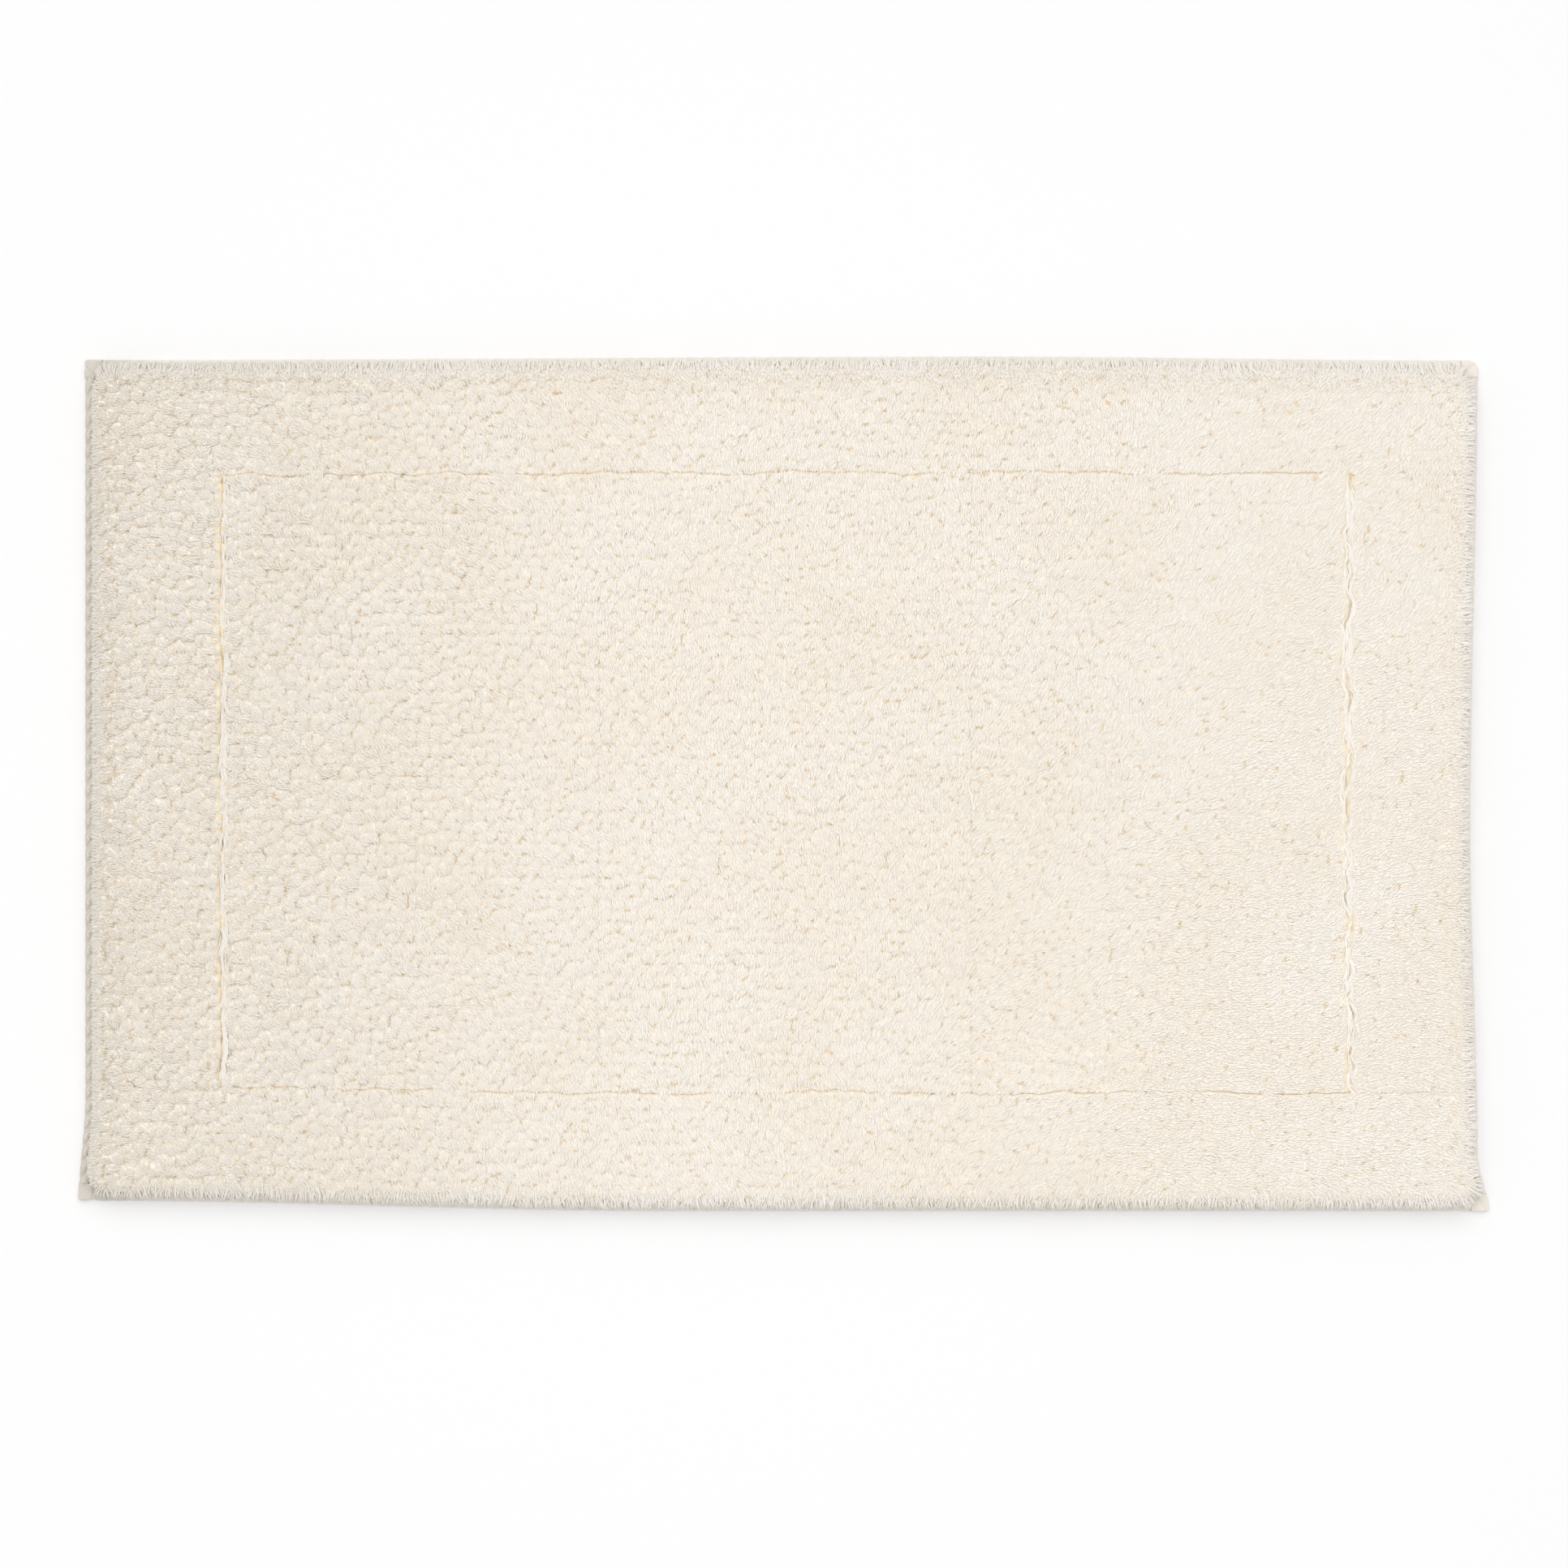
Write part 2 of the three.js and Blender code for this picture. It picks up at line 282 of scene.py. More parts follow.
class Locks:
    """The little bunches that the pile gathers into, in shaken, staggered rows over the mat."""

    def __init__(self, draw):
        y, x = np.meshgrid(
            np.arange(-HALF_WIDTH - 4 * LOCK_ROW, HALF_WIDTH + 4 * LOCK_ROW, LOCK_ROW),
            np.arange(-HALF_LENGTH - 4 * LOCK_PITCH, HALF_LENGTH + 4 * LOCK_PITCH, LOCK_PITCH), indexing="ij",
        )
        self.start = x[0, 0], y[0, 0]
        self.shape = x.shape
        x = x + (np.arange(x.shape[0]) % 2)[:, None] * LOCK_PITCH / 2
        self.x = x + draw.uniform(-0.4, 0.4, x.shape) * LOCK_PITCH
        self.y = y + draw.uniform(-0.4, 0.4, x.shape) * LOCK_ROW
        clump = clumping(self.x, self.y)
        heading = fall_direction(self.x, self.y) + draw.normal(0, 0.17, x.shape) * (0.6 + 0.6 * clump)
        self.heading = heading + draw.normal(0, 0.45, x.shape) * ruffled(self.x, self.y)
        self.lift = draw.normal(0, 0.32 * MM, x.shape) * (0.35 + 0.65 * clump)
        self.tone = draw.uniform(0, 1, x.shape)
        # Some stop short of the lock ahead of them, over part of their width
        self.parted = draw.uniform(0, 1, x.shape) < 0.85 - 0.5 * smooth(0.12, 0.38, self.x)
        self.gap_at = draw.uniform(-0.7, 0.7, x.shape) * HALF_LOCK_WIDTH
        self.gap_reach = draw.uniform(0.1, 0.55, x.shape) * HALF_LOCK_WIDTH
        # From here on the locks are numbered row after row
        for name in ("x", "y", "heading", "lift", "tone", "parted", "gap_at", "gap_reach"):
            setattr(self, name, getattr(self, name).ravel())

    def on_lock(self, lock, x, y):
        """How far along and across a lock each place is, from the lock's middle."""
        ox, oy, turn = x - self.x[lock], y - self.y[lock], self.heading[lock]
        return ox * np.cos(turn) + oy * np.sin(turn), oy * np.cos(turn) - ox * np.sin(turn)

    def nearest(self, x, y):
        """The lock at each place, how far along and across it that is, and how near its rim."""
        row = np.floor((y - self.start[1]) / LOCK_ROW).astype(int)
        col = np.floor((x - self.start[0]) / LOCK_PITCH).astype(int)
        best = np.full(np.shape(x), 1e9)
        second, along, across = best.copy(), best.copy(), best.copy()
        lock = np.zeros(np.shape(x), int)
        for down in range(-2, 3):
            for over in range(-2, 3):
                i = np.clip(row + down, 0, self.shape[0] - 1)
                j = np.clip(col + over, 0, self.shape[1] - 1)
                here = i * self.shape[1] + j
                a, b = self.on_lock(here, x, y)
                far = np.hypot(a / HALF_LOCK, b / HALF_LOCK_WIDTH)
                closer = far < best
                second = np.where(closer, best, np.minimum(second, far))
                best = np.where(closer, far, best)
                along, across = np.where(closer, a, along), np.where(closer, b, across)
                lock = np.where(closer, here, lock)
        return lock, along, across, second - best

    def height(self, lock, a, b, clump):
        """How far the surface stands above the pile's general height."""
        ramp = LOCK_RAMP * np.clip(a / HALF_LOCK, -1.2, 1.1)
        rim = np.minimum((a / HALF_LOCK) ** 2 + (b / HALF_LOCK_WIDTH) ** 2, 1.3)
        return self.lift[lock] + clump * (ramp - LOCK_CROWN * (rim - 0.4))

    def stops_short(self, lock, across):
        """True over the part of a lock's width that ends before the lock ahead of it."""
        return self.parted[lock] & (np.abs(across - self.gap_at[lock]) < self.gap_reach[lock])

    def gap(self, x, y, lock):
        """True where a lock that stops short has just ended, and where it is about to."""
        dx, dy = np.cos(self.heading[lock]), np.sin(self.heading[lock])
        ahead = self.nearest(x + dx * 0.9 * MM, y + dy * 0.9 * MM)[0]
        behind = self.nearest(x - dx * 1.0 * MM, y - dy * 1.0 * MM)[0]
        opened = (behind != lock) & self.stops_short(behind, self.on_lock(behind, x, y)[1])
        closing = (ahead != lock) & self.stops_short(lock, self.on_lock(lock, x, y)[1])
        return opened, closing


# ---------------------------------------------------------------- meshes


def add_mesh(name, points, faces, sizes, uv=None, marks=None, is_smooth=True):
    """A mesh from arrays: points, corner indices face after face, and each face's corner count."""
    mesh = bpy.data.meshes.new(name)
    faces = np.ascontiguousarray(faces, np.int32).ravel()
    sizes = np.ascontiguousarray(sizes, np.int32).ravel()
    mesh.vertices.add(len(points))
    mesh.vertices.foreach_set("co", np.ascontiguousarray(points, np.float32).ravel())
    mesh.loops.add(len(faces))
    mesh.loops.foreach_set("vertex_index", faces)
    mesh.polygons.add(len(sizes))
    mesh.polygons.foreach_set("loop_start", np.concatenate([[0], np.cumsum(sizes)[:-1]]).astype(np.int32))
    mesh.polygons.foreach_set("use_smooth", np.ascontiguousarray(np.broadcast_to(is_smooth, len(sizes))))
    if uv is not None:
        layer = mesh.uv_layers.new(name="OFBake")
        layer.data.foreach_set("uv", np.ascontiguousarray(uv, np.float32).ravel())
    for mark, values in (marks or {}).items():
        layer = mesh.attributes.new(mark, "FLOAT", "POINT")
        layer.data.foreach_set("value", np.ascontiguousarray(values, np.float32).ravel())
    mesh.update(calc_edges=True)
    piece = bpy.data.objects.new(name, mesh)
    bpy.context.scene.collection.objects.link(piece)
    return piece


def dress(piece, material, slot, *replaced):
    """Gives a piece its finish, puts it on the mat and hides the plain solids it stands for."""
    piece.data.materials.append(material)
    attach(piece, "root")
    if replaced:
        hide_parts(*replaced)
    return piece


def grid_faces(rows, cols):
    """Quads over a grid of points stored row after row, wound so that rows x columns faces up."""
    index = np.arange(rows * cols).reshape(rows, cols)
    return np.stack([index[:-1, :-1], index[:-1, 1:], index[1:, 1:], index[1:, :-1]], axis=-1).reshape(-1, 4)


def wrap_map(around, ahead, corners):
    """The map of a band of quads; corners says which end of each step a quad's corners stand at."""
    cols, rows = len(around) - 1, len(ahead) - 1
    return np.stack([
        np.stack(np.broadcast_arrays(around[None, i:cols + i], ahead[j:rows + j, None]), axis=-1)
        for i, j in corners
    ], axis=2).reshape(-1, 4, 2)


def closed_slab(name, upper, lower, marks=None):
    """A closed piece between two grids of points, rows running along y and columns along x."""
    rows, cols = upper.shape[:2]
    top = grid_faces(rows, cols)
    bottom = grid_faces(rows, cols)[:, ::-1] + rows * cols
    index = np.arange(rows * cols).reshape(rows, cols)
    rim = np.concatenate([index[0, :], index[1:, -1], index[-1, -2::-1], index[-2:0:-1, 0]])
    ahead = np.roll(rim, -1)
    sides = np.stack([rim + rows * cols, ahead + rows * cols, ahead, rim], axis=-1)
    points = np.concatenate([upper.reshape(-1, 3), lower.reshape(-1, 3)])
    faces = np.concatenate([top, bottom, sides])
    # The map lays the top and the bottom side by side, with the rim in a strip above them
    v, u = np.meshgrid(np.linspace(0.02, 0.9, rows), np.linspace(0, 0.49, cols), indexing="ij")
    flat = np.stack([u, v], axis=-1).reshape(-1, 2)
    low_map = flat + [0.505, 0]
    both = np.concatenate([flat, low_map])
    spread = np.linspace(0, 1, len(rim) + 1)
    rim_map = wrap_map(spread, np.array([0.92, 1.0]), ((0, 0), (1, 0), (1, 1), (0, 1)))
    uv = np.concatenate([both[np.concatenate([top, bottom])], rim_map])
    is_smooth = np.arange(len(faces)) < len(top) + len(bottom)  # and its walls meet them at a crease
    return add_mesh(name, points, faces, np.full(len(faces), 4), uv, marks, is_smooth)


# ---------------------------------------------------------------- finishes


class Value:
    """A shader socket that can be used in sums."""

    def __init__(self, paint, socket):
        self.paint, self.socket = paint, socket

    def _math(self, operation, first, second):
        return self.paint.node("ShaderNodeMath", {"operation": operation}, {0: first, 1: second})

    def __add__(self, other):
        return self._math("ADD", self, other)

    def __sub__(self, other):
        return self._math("SUBTRACT", self, other)

    def __rsub__(self, other):
        return self._math("SUBTRACT", other, self)

    def __mul__(self, other):
        return self._math("MULTIPLY", self, other)

    __radd__ = __add__
    __rmul__ = __mul__


class Paint:
    """One material's node tree, with its main shader."""

    def __init__(self, name, roughness, sheen=0.0):
        self.material = bpy.data.materials.new(name)
        self.material.use_nodes = True
        self.nodes, self.links = self.material.node_tree.nodes, self.material.node_tree.links
        self.shader = next(n for n in self.nodes if n.type == "BSDF_PRINCIPLED")
        self.shader.inputs["Roughness"].default_value = roughness
        self.shader.inputs["Specular IOR Level"].default_value = 0.25
        self.shader.inputs["Sheen Weight"].default_value = sheen
        self.shader.inputs["Sheen Roughness"].default_value = 0.45

    def node(self, kind, settings=None, sockets=None, out=0):
        """Adds a node, sets it up, fills its sockets and gives back one of its outputs."""
        made = self.nodes.new(kind)
        for key, value in (settings or {}).items():
            if key == "stops":
                for place, colour in value[1:-1]:
                    made.color_ramp.elements.new(place)
                for stop, (place, colour) in zip(made.color_ramp.elements, value):
                    stop.position, stop.color = place, (*colour, 1)
            else:
                setattr(made, key, value)
        for key, value in (sockets or {}).items():
            self.feed(made.inputs[key], value)
        return Value(self, made.outputs[out])

    def feed(self, socket, value):
        """Links a value to a socket, or sets the socket to a number or a colour."""
        if isinstance(value, Value):
            self.links.new(value.socket, socket)
        elif isinstance(value, tuple) and len(value) == 3 and socket.type == "RGBA":
            socket.default_value = (*value, 1)
        else:
            socket.default_value = value

    def set(self, **inputs):
        """Fills the main shader's own sockets."""
        for key, value in inputs.items():
            self.feed(self.shader.inputs[key.replace("_", " ")], value)

    def place(self):
        """The place on the mat, in metres."""
        return self.node("ShaderNodeTexCoord", out="Object")

    def mark(self, name):
        """A number that the mesh carries at each of its points."""
        return self.node("ShaderNodeAttribute", {"attribute_name": name}, out="Fac")

    def noise(self, scale, detail=2.0):
        """Cloudy variation, finer for a larger scale."""
        sockets = {"Scale": scale, "Detail": detail, "Vector": self.place()}
        return self.node("ShaderNodeTexNoise", {}, sockets)

    def step(self, value, start, stop):
        """0 at start, 1 at stop, eased."""
        settings = {"interpolation_type": "SMOOTHSTEP"}
        return self.node("ShaderNodeMapRange", settings, {"Value": value, 1: start, 2: stop})

    def blend(self, share, first, second, how="MIX"):
        """The first colour at share 0 and the second at 1."""
        settings = {"data_type": "RGBA", "blend_type": how}
        return self.node("ShaderNodeMix", settings, {0: share, 6: first, 7: second}, out=2)

    def tinted(self, colour, tint):
        """The colour darkened by a tint, where white leaves it as it is."""
        return self.blend(1.0, colour, tint, "MULTIPLY")

    def along_length(self):
        """Distance along the mat's length, from its middle."""
        return self.node("ShaderNodeSeparateXYZ", {}, {0: self.place()})

    def waves(self, axis, scale, distortion, detail_scale=1.0):
        """Even bands that follow each other along one axis."""
        sockets = {"Scale": scale, "Distortion": distortion, "Detail Scale": detail_scale}
        sockets["Vector"] = self.place()
        return self.node("ShaderNodeTexWave", {"bands_direction": axis}, sockets, out="Fac")

    def bump(self, height, depth, strength):
        """Fine relief, too small to be modelled."""
        sockets = {"Height": height, "Distance": depth, "Strength": strength}
        self.set(Normal=self.node("ShaderNodeBump", {}, sockets))


WHITE = (1.0, 1.0, 1.0)
TIP_CREAM = (0.968, 0.928, 0.868)
WARM_CREAM = (0.958, 0.905, 0.825)
# Painted warm shade deep in the pile, low along each tuft
DEEP_PILE_PAINTED_SHADE = (0.87, 0.70, 0.46)
# Painted shade at the bottom of the wide side grooves
GROOVE_PAINTED_SHADE = (0.70, 0.59, 0.44)
BED_CREAM = (0.89, 0.80, 0.67)
# Painted shade where the bed parts, in a deeper and a paler tint
BED_PAINTED_SHADE = (0.86, 0.71, 0.50)
BED_PALE_PAINTED_SHADE = (0.90, 0.78, 0.59)
WAVES_AT_SCALE_1 = 3.1415  # threads to the metre that a wave texture of scale 1 gives, nearly


def pile_finish():
    """Cotton pile: painted warm shade, tan, near the roots, cream at the tips, each tuft a touch lighter or
    darker at random, with painted shade towards the mat's outside and on its left.
    """
    paint = Paint("pile_cotton", 0.9, sheen=0.1)
    along, tone = paint.mark("along"), paint.mark("tone")
    tip = paint.blend(paint.step(paint.noise(9, 3), 0.35, 0.65), TIP_CREAM, WARM_CREAM)
    # Painted shade: tan low along each tuft, where it lies deep in the pile or along a gap, cream towards its
    # tip
    colour = paint.blend(paint.step(along, 0.12, 0.6), DEEP_PILE_PAINTED_SHADE, tip)
    # Painted shade: the left of the mat is coloured a little greyer, for light falling off towards the left
    pile_left_painted_shade = paint.step(paint.along_length(), -0.06, -0.5)
    colour = paint.blend(pile_left_painted_shade, colour, paint.tinted(colour, (0.912, 0.91, 0.902)))
    # The tone mark darkens each tuft: partly its own random tone, partly painted shade towards the mat's
    # outside
    shade = paint.blend(tone, (0.885, 0.885, 0.885), WHITE)
    paint.set(Base_Color=paint.tinted(colour, shade))
    paint.set(Roughness=paint.noise(300) * 0.2 + 0.78)
    paint.bump(paint.noise(1500, 3), 0.2 * MM, 0.25)
    return paint.material


def bed_finish():
    """The dense pile under the tufts that lie over it: cream, with painted shade where it parts, tan between
    locks and along fine grooves and brown in the wide grooves.
    """
    paint = Paint("pile_body", 0.95)
    speck = paint.step(paint.noise(620, 4), 0.3, 0.7)
    top = paint.blend(speck, BED_CREAM, TIP_CREAM)
    # Painted shade: tan where the bed parts, between locks and along grooves
    low = paint.blend(speck, BED_PAINTED_SHADE, BED_PALE_PAINTED_SHADE)
    deep = paint.mark("deep")
    colour = paint.blend(paint.step(deep, 0.15, 0.8), top, low)
    # Painted shade: brown at the bottom of the wide side grooves
    paint.set(Base_Color=paint.blend(paint.step(deep, 0.95, 1.45), colour, GROOVE_PAINTED_SHADE))
    paint.set(Roughness=speck * 0.1 + 0.85)
    paint.bump(paint.noise(800, 4), 0.4 * MM, 0.5)
    return paint.material


def woven_finish(name, base, dark, threads_per_metre, roughness, left=WHITE):
    """Plain weave: warp and weft waves crossing, with slubs, a little wear, and painted shade on the left of
    the mat by the left colour.
    """
    paint = Paint(name, roughness, sheen=0.08)
    scale = threads_per_metre / WAVES_AT_SCALE_1
    weave = paint.waves("X", scale, 0.6, 3.0) * paint.waves("Y", scale, 0.6, 3.0)
    slub = paint.noise(260, 4)
    colour = paint.blend(paint.step(weave + slub * 0.5, 0.15, 0.75), dark, base)
    patches = paint.blend(paint.step(paint.noise(25, 3), 0.4, 0.7), WHITE, (0.965, 0.955, 0.94))
    # Painted shade: the cloth at the mat's left end is darkened by the left colour
    cloth_left_painted_shade = paint.blend(paint.step(paint.along_length(), -0.44, -0.48), WHITE, left)
    paint.set(Base_Color=paint.tinted(paint.tinted(colour, patches), cloth_left_painted_shade))
    paint.set(Roughness=slub * 0.15 + (roughness - 0.08))
    paint.bump(weave + slub * 0.4, 0.22 * MM, 0.6)
    return paint.material


def thread_finish():
    """Twisted cotton sewing thread with a little fuzz."""
    paint = Paint("sewing_thread", 0.7, sheen=0.15)
    fuzz = paint.noise(900, 3)
    paint.set(Base_Color=paint.blend(fuzz, (0.88, 0.82, 0.73), (0.95, 0.90, 0.82)))
    paint.set(Roughness=fuzz * 0.2 + 0.6)
    paint.bump(fuzz, 0.1 * MM, 0.4)
    return paint.material


def latex_finish():
    """Milky latex coat with tiny bubbles and the back of the stitches showing through."""
    paint = Paint("milky_latex", 0.55)
    rows = paint.waves("Y", 35.0, 1.5)
    patches = paint.noise(45, 4)
    colour = paint.blend(patches, (0.78, 0.73, 0.63), (0.86, 0.82, 0.73))
    paint.set(Base_Color=paint.blend(rows * 0.35, colour, (0.70, 0.64, 0.53)))
    paint.set(Roughness=patches * 0.3 + 0.4)
    paint.bump(rows + paint.noise(700) * 0.5, 0.3 * MM, 0.5)
    return paint.material


def floor_finish():
    """Matt pale floor that gives off a trace of light."""
    paint = Paint("studio_floor", 0.9)
    paint.shader.inputs["Specular IOR Level"].default_value = 0.0
    paint.set(Base_Color=(0.863, 0.863, 0.863))
    paint.shader.inputs["Emission Color"].default_value = (1, 1, 1, 1)
    paint.shader.inputs["Emission Strength"].default_value = 0.055
    return paint.material


# ---------------------------------------------------------------- tufts


def tuft_mesh(name, spine, width, tone, along):
    """One closed, tapering three-sided blade for each spine, all in one mesh.

    spine is tufts x points x 3, from root to tip; width is tufts x the points between them."""
    count, rings = spine.shape[0], spine.shape[1] - 2
    tangent = spine[:, 2:] - spine[:, :-2]
    tangent /= np.maximum(np.linalg.norm(tangent, axis=2, keepdims=True), 1e-9)
    heading = spine[:, -1, :2] - spine[:, 0, :2]
    heading /= np.maximum(np.linalg.norm(heading, axis=1, keepdims=True), 1e-9)
    side = np.zeros((count, 1, 3))
    side[:, 0, 0], side[:, 0, 1] = -heading[:, 1], heading[:, 0]
    side = np.repeat(side, rings, axis=1)
    side -= tangent * (side * tangent).sum(2, keepdims=True)
    side /= np.maximum(np.linalg.norm(side, axis=2, keepdims=True), 1e-9)
    over = np.cross(tangent, side)
    half = width[..., None] / 2
    centre = spine[:, 1:-1]
    ring = np.stack([
        centre - side * half - over * half * TUFT_BELLY,
        centre + side * half - over * half * TUFT_BELLY,
        centre + over * half * TUFT_RIDGE,
    ], axis=2)
    per = rings * 3 + 2
    root, tip = per - 2, per - 1
    points = np.concatenate([ring.reshape(count, rings * 3, 3), spine[:, :1], spine[:, -1:]], axis=1)
    quads = [
        [r * 3 + k, r * 3 + (k + 1) % 3, (r + 1) * 3 + (k + 1) % 3, (r + 1) * 3 + k]
        for r in range(rings - 1) for k in range(3)
    ]
    last = (rings - 1) * 3
    tris = [[last + k, last + (k + 1) % 3, tip] for k in range(3)]
    tris += [[(k + 1) % 3, k, root] for k in range(3)]
    corners = np.array(sum(quads, []) + sum(tris, []))
    sizes = np.array([4] * len(quads) + [3] * len(tris))
    # Each tuft has its own cell of the map: faces side by side, root low and tip high
    levels = np.arange(1, rings + 1) / (rings + 1)
    quad_map = [
        [((k + u) / 3, levels[r + v]) for u, v in ((0, 0), (1, 0), (1, 1), (0, 1))]
        for r in range(rings - 1) for k in range(3)
    ]
    tri_map = [[(k / 3, levels[-1]), ((k + 1) / 3, levels[-1]), ((k + 0.5) / 3, 1.0)] for k in range(3)]
    tri_map += [[((k + 1) / 3, levels[0]), (k / 3, levels[0]), ((k + 0.5) / 3, 0.0)] for k in range(3)]
    cell = np.array(sum(quad_map, []) + sum(tri_map, []))
    across = int(math.ceil(math.sqrt(count)))
    index = np.arange(count)
    origin = np.stack([index % across, index // across], axis=1) / across
    uv = origin[:, None] + cell[None] * (0.92 / across) + 0.04 / across
    along = np.concatenate([np.repeat(along[:, 1:-1], 3, axis=1), along[:, :1], along[:, -1:]], axis=1)
    marks = {"along": along.ravel(), "tone": np.repeat(tone, per)}
    faces, sizes = corners[None] + (np.arange(count) * per)[:, None], np.tile(sizes, count)
    return add_mesh(name, lie(points.reshape(-1, 3)), faces, sizes, uv, marks, is_smooth=False)


# How much of the hem shows on each side outside the tufts, and the cloth left bare at each corner
HEM_SHOWS = {"left": 7.6 * MM, "right": 0.8 * MM, "front": 0.9 * MM, "back": 0.7 * MM}


def cover(x, y):
    """How far inside the area that tufts may cover, less than 0 outside it."""
    left, right = x + HALF_LENGTH - HEM_SHOWS["left"], HALF_LENGTH - x - HEM_SHOWS["right"]
    front, back = y + HALF_WIDTH - HEM_SHOWS["front"], HALF_WIDTH - y - HEM_SHOWS["back"]
    inside = np.minimum(np.minimum(left, right), np.minimum(front, back))
    # Three corners are cut back so that their tucks show
    back_right = (right * 12 + back * 8 - 12 * 11 * MM) / math.hypot(12, 8)
    front_right = (right + front - 12.5 * MM) / math.sqrt(2)
    front_left = np.maximum(left - 4.0 * MM, front - 8.5 * MM)
    return np.minimum(np.minimum(inside, back_right), np.minimum(front_right, front_left))


def hold_back(draw, x, y, tx, ty):
    """Keeps tips on their own side of each groove, but for a few that cross."""
    for groove in grooves + partings:
        s, d = groove.place(x, y)
        _, tip_d = groove.place(tx, ty)
        ragged = 0.9 * MM * drift(s, np.sign(d) * 50 * MM, 4 * MM, groove.seed + 3)
        keep_off = groove.tips * draw.uniform(0.0, 1.6, len(x)) + ragged
        crosses = (tip_d * np.sign(d) < keep_off) & (groove.presence(s) > 0.5)
        crosses &= draw.uniform(0, 1, len(x)) > 0.36
        step = np.where(crosses, np.sign(d) * np.minimum(keep_off, np.abs(d)) - tip_d, 0)
        tx, ty = (tx, ty + step) if groove.along_x else (tx + step, ty)
    return tx, ty


def spine_of(*places):
    """Tufts' spines from their points, root first, each given as its x, y and z."""
    return np.stack([np.stack(place, axis=1) for place in places], axis=1)


def unit(dx, dy):
    """The same direction, one long."""
    size = np.hypot(dx, dy)
    return dx / size, dy / size


def tuft_places(draw):
    """Places of the field tufts, clear of the grooves, with their distance inside the pile's
    outline and the outward direction."""
    rows = np.arange(-HALF_WIDTH, HALF_WIDTH, TUFT_PITCH)
    cols = np.arange(-HALF_LENGTH, HALF_LENGTH, TUFT_PITCH)
    y, x = np.meshgrid(rows, cols, indexing="ij")
    x = (x + draw.uniform(-0.6, 0.6, x.shape) * TUFT_PITCH).ravel()
    y = (y + draw.uniform(-0.6, 0.6, y.shape) * TUFT_PITCH).ravel()
    edge, nx, ny = pile_edge(x, y)
    keep = edge > 1.0 * MM
    for groove in grooves + partings:
        s, d = groove.place(x, y)
        keep &= np.abs(d) > groove.roots * groove.presence(s)
    return (v[keep] for v in (x, y, edge, nx, ny))


def field_tufts(locks):
    """Spines, widths, tones and colour marks of the tufts that lie over the top of the pile."""
    draw = np.random.default_rng(7)
    x, y, edge, nx, ny = tuft_places(draw)
    count = len(x)
    lock, _, b, _ = locks.nearest(x, y)
    clump = clumping(x, y)
    turn = locks.heading[lock]
    reach = TUFT_REACH * draw.uniform(0.8, 1.15, count) * (1 - 0.3 * ruffled(x, y))
    stray = draw.normal(0, 0.09, count)
    gather = np.clip(0.55 * clump * b / reach, -0.5, 0.5)
    angle = turn + stray - gather
    dx, dy = np.cos(angle), np.sin(angle)
    # Near the mat's edge the pile turns outwards
    near = smooth(13 * MM, 2 * MM, edge)
    turned = (dx * nx + dy * ny < 0) & (draw.uniform(0, 1, count) < smooth(20 * MM, 7 * MM, edge))
    dx, dy = np.where(turned, -dx, dx), np.where(turned, -dy, dy)
    dx, dy = unit(dx + 1.3 * near * nx, dy + 1.3 * near * ny)
    # Here and there a root end shows, lying along the gap between two locks, marked low along so that it is
    # coloured tan as painted shade of the gap
    opened, closing = locks.gap(x, y, lock)
    rough = ruffled(x, y)
    shows = (opened & (draw.uniform(0, 1, count) < 0.5)) | (draw.uniform(0, 1, count) < 0.07 * rough)
    swing = np.where(shows, draw.normal(0, 1, count) * (1 - 0.6 * rough), 0)
    dx, dy = dx * np.cos(swing) - dy * np.sin(swing), dx * np.sin(swing) + dy * np.cos(swing)
    reach = np.where(shows, 0.62 * reach, reach)
    rx, ry = x - dx * reach * 0.55, y - dy * reach * 0.55
    parted = locks.stops_short(lock, b)
    ahead = np.full(count, 0.55)
    for shorter in (0.42, 0.3, 0.18):
        under, _, _, _ = locks.nearest(x + dx * reach * ahead, y + dy * reach * ahead)
        ahead = np.where(parted & (under != lock), shorter, ahead)
    tx, ty = hold_back(draw, x, y, x + dx * reach * ahead, y + dy * reach * ahead)
    heights = []
    for px, py in ((rx, ry), (x, y), (tx, ty)):
        heights.append(crest(px, py) + locks.height(lock, *locks.on_lock(lock, px, py), clump * (1 - near)))
    back = heights[1] + draw.normal(0, 0.09 * MM, count) + 0.2 * MM * shows
    root_z = np.minimum(heights[0], back) - 1.9 * MM
    tip_z = np.minimum(heights[2], back) - draw.uniform(0.1, 0.38, count) * MM
    # In the ruffled patch tufts stand up and show their sides
    up = ruffled(x, y) * draw.uniform(0, 1, count)
    root_z = root_z - 3 * MM * up
    tip_z = tip_z + 0.8 * MM * up * draw.uniform(-1, 1, count)
    spine = spine_of((rx, ry, root_z), (x, y, back), (tx, ty, tip_z))
    wide = TUFT_WIDTH * draw.uniform(0.8, 1.2, count)
    # Each tuft's tone: its lock's and its own random tone, less painted shade towards the mat's outside
    tone = 0.6 + 0.12 * locks.tone[lock] + 0.28 * draw.uniform(0, 1, count) - edge_painted_shade(x, y)
    along = np.stack([0 * x, np.where(shows, 0.2, 0.5), np.where(shows, 0.4, 1.0)], axis=1)
    keep = shows | (draw.uniform(0, 1, count) > 0.25 * opened + 0.2 * closing)
    return spine[keep], np.where(shows, 0.66 * wide, wide)[keep, None], tone[keep], along[keep]


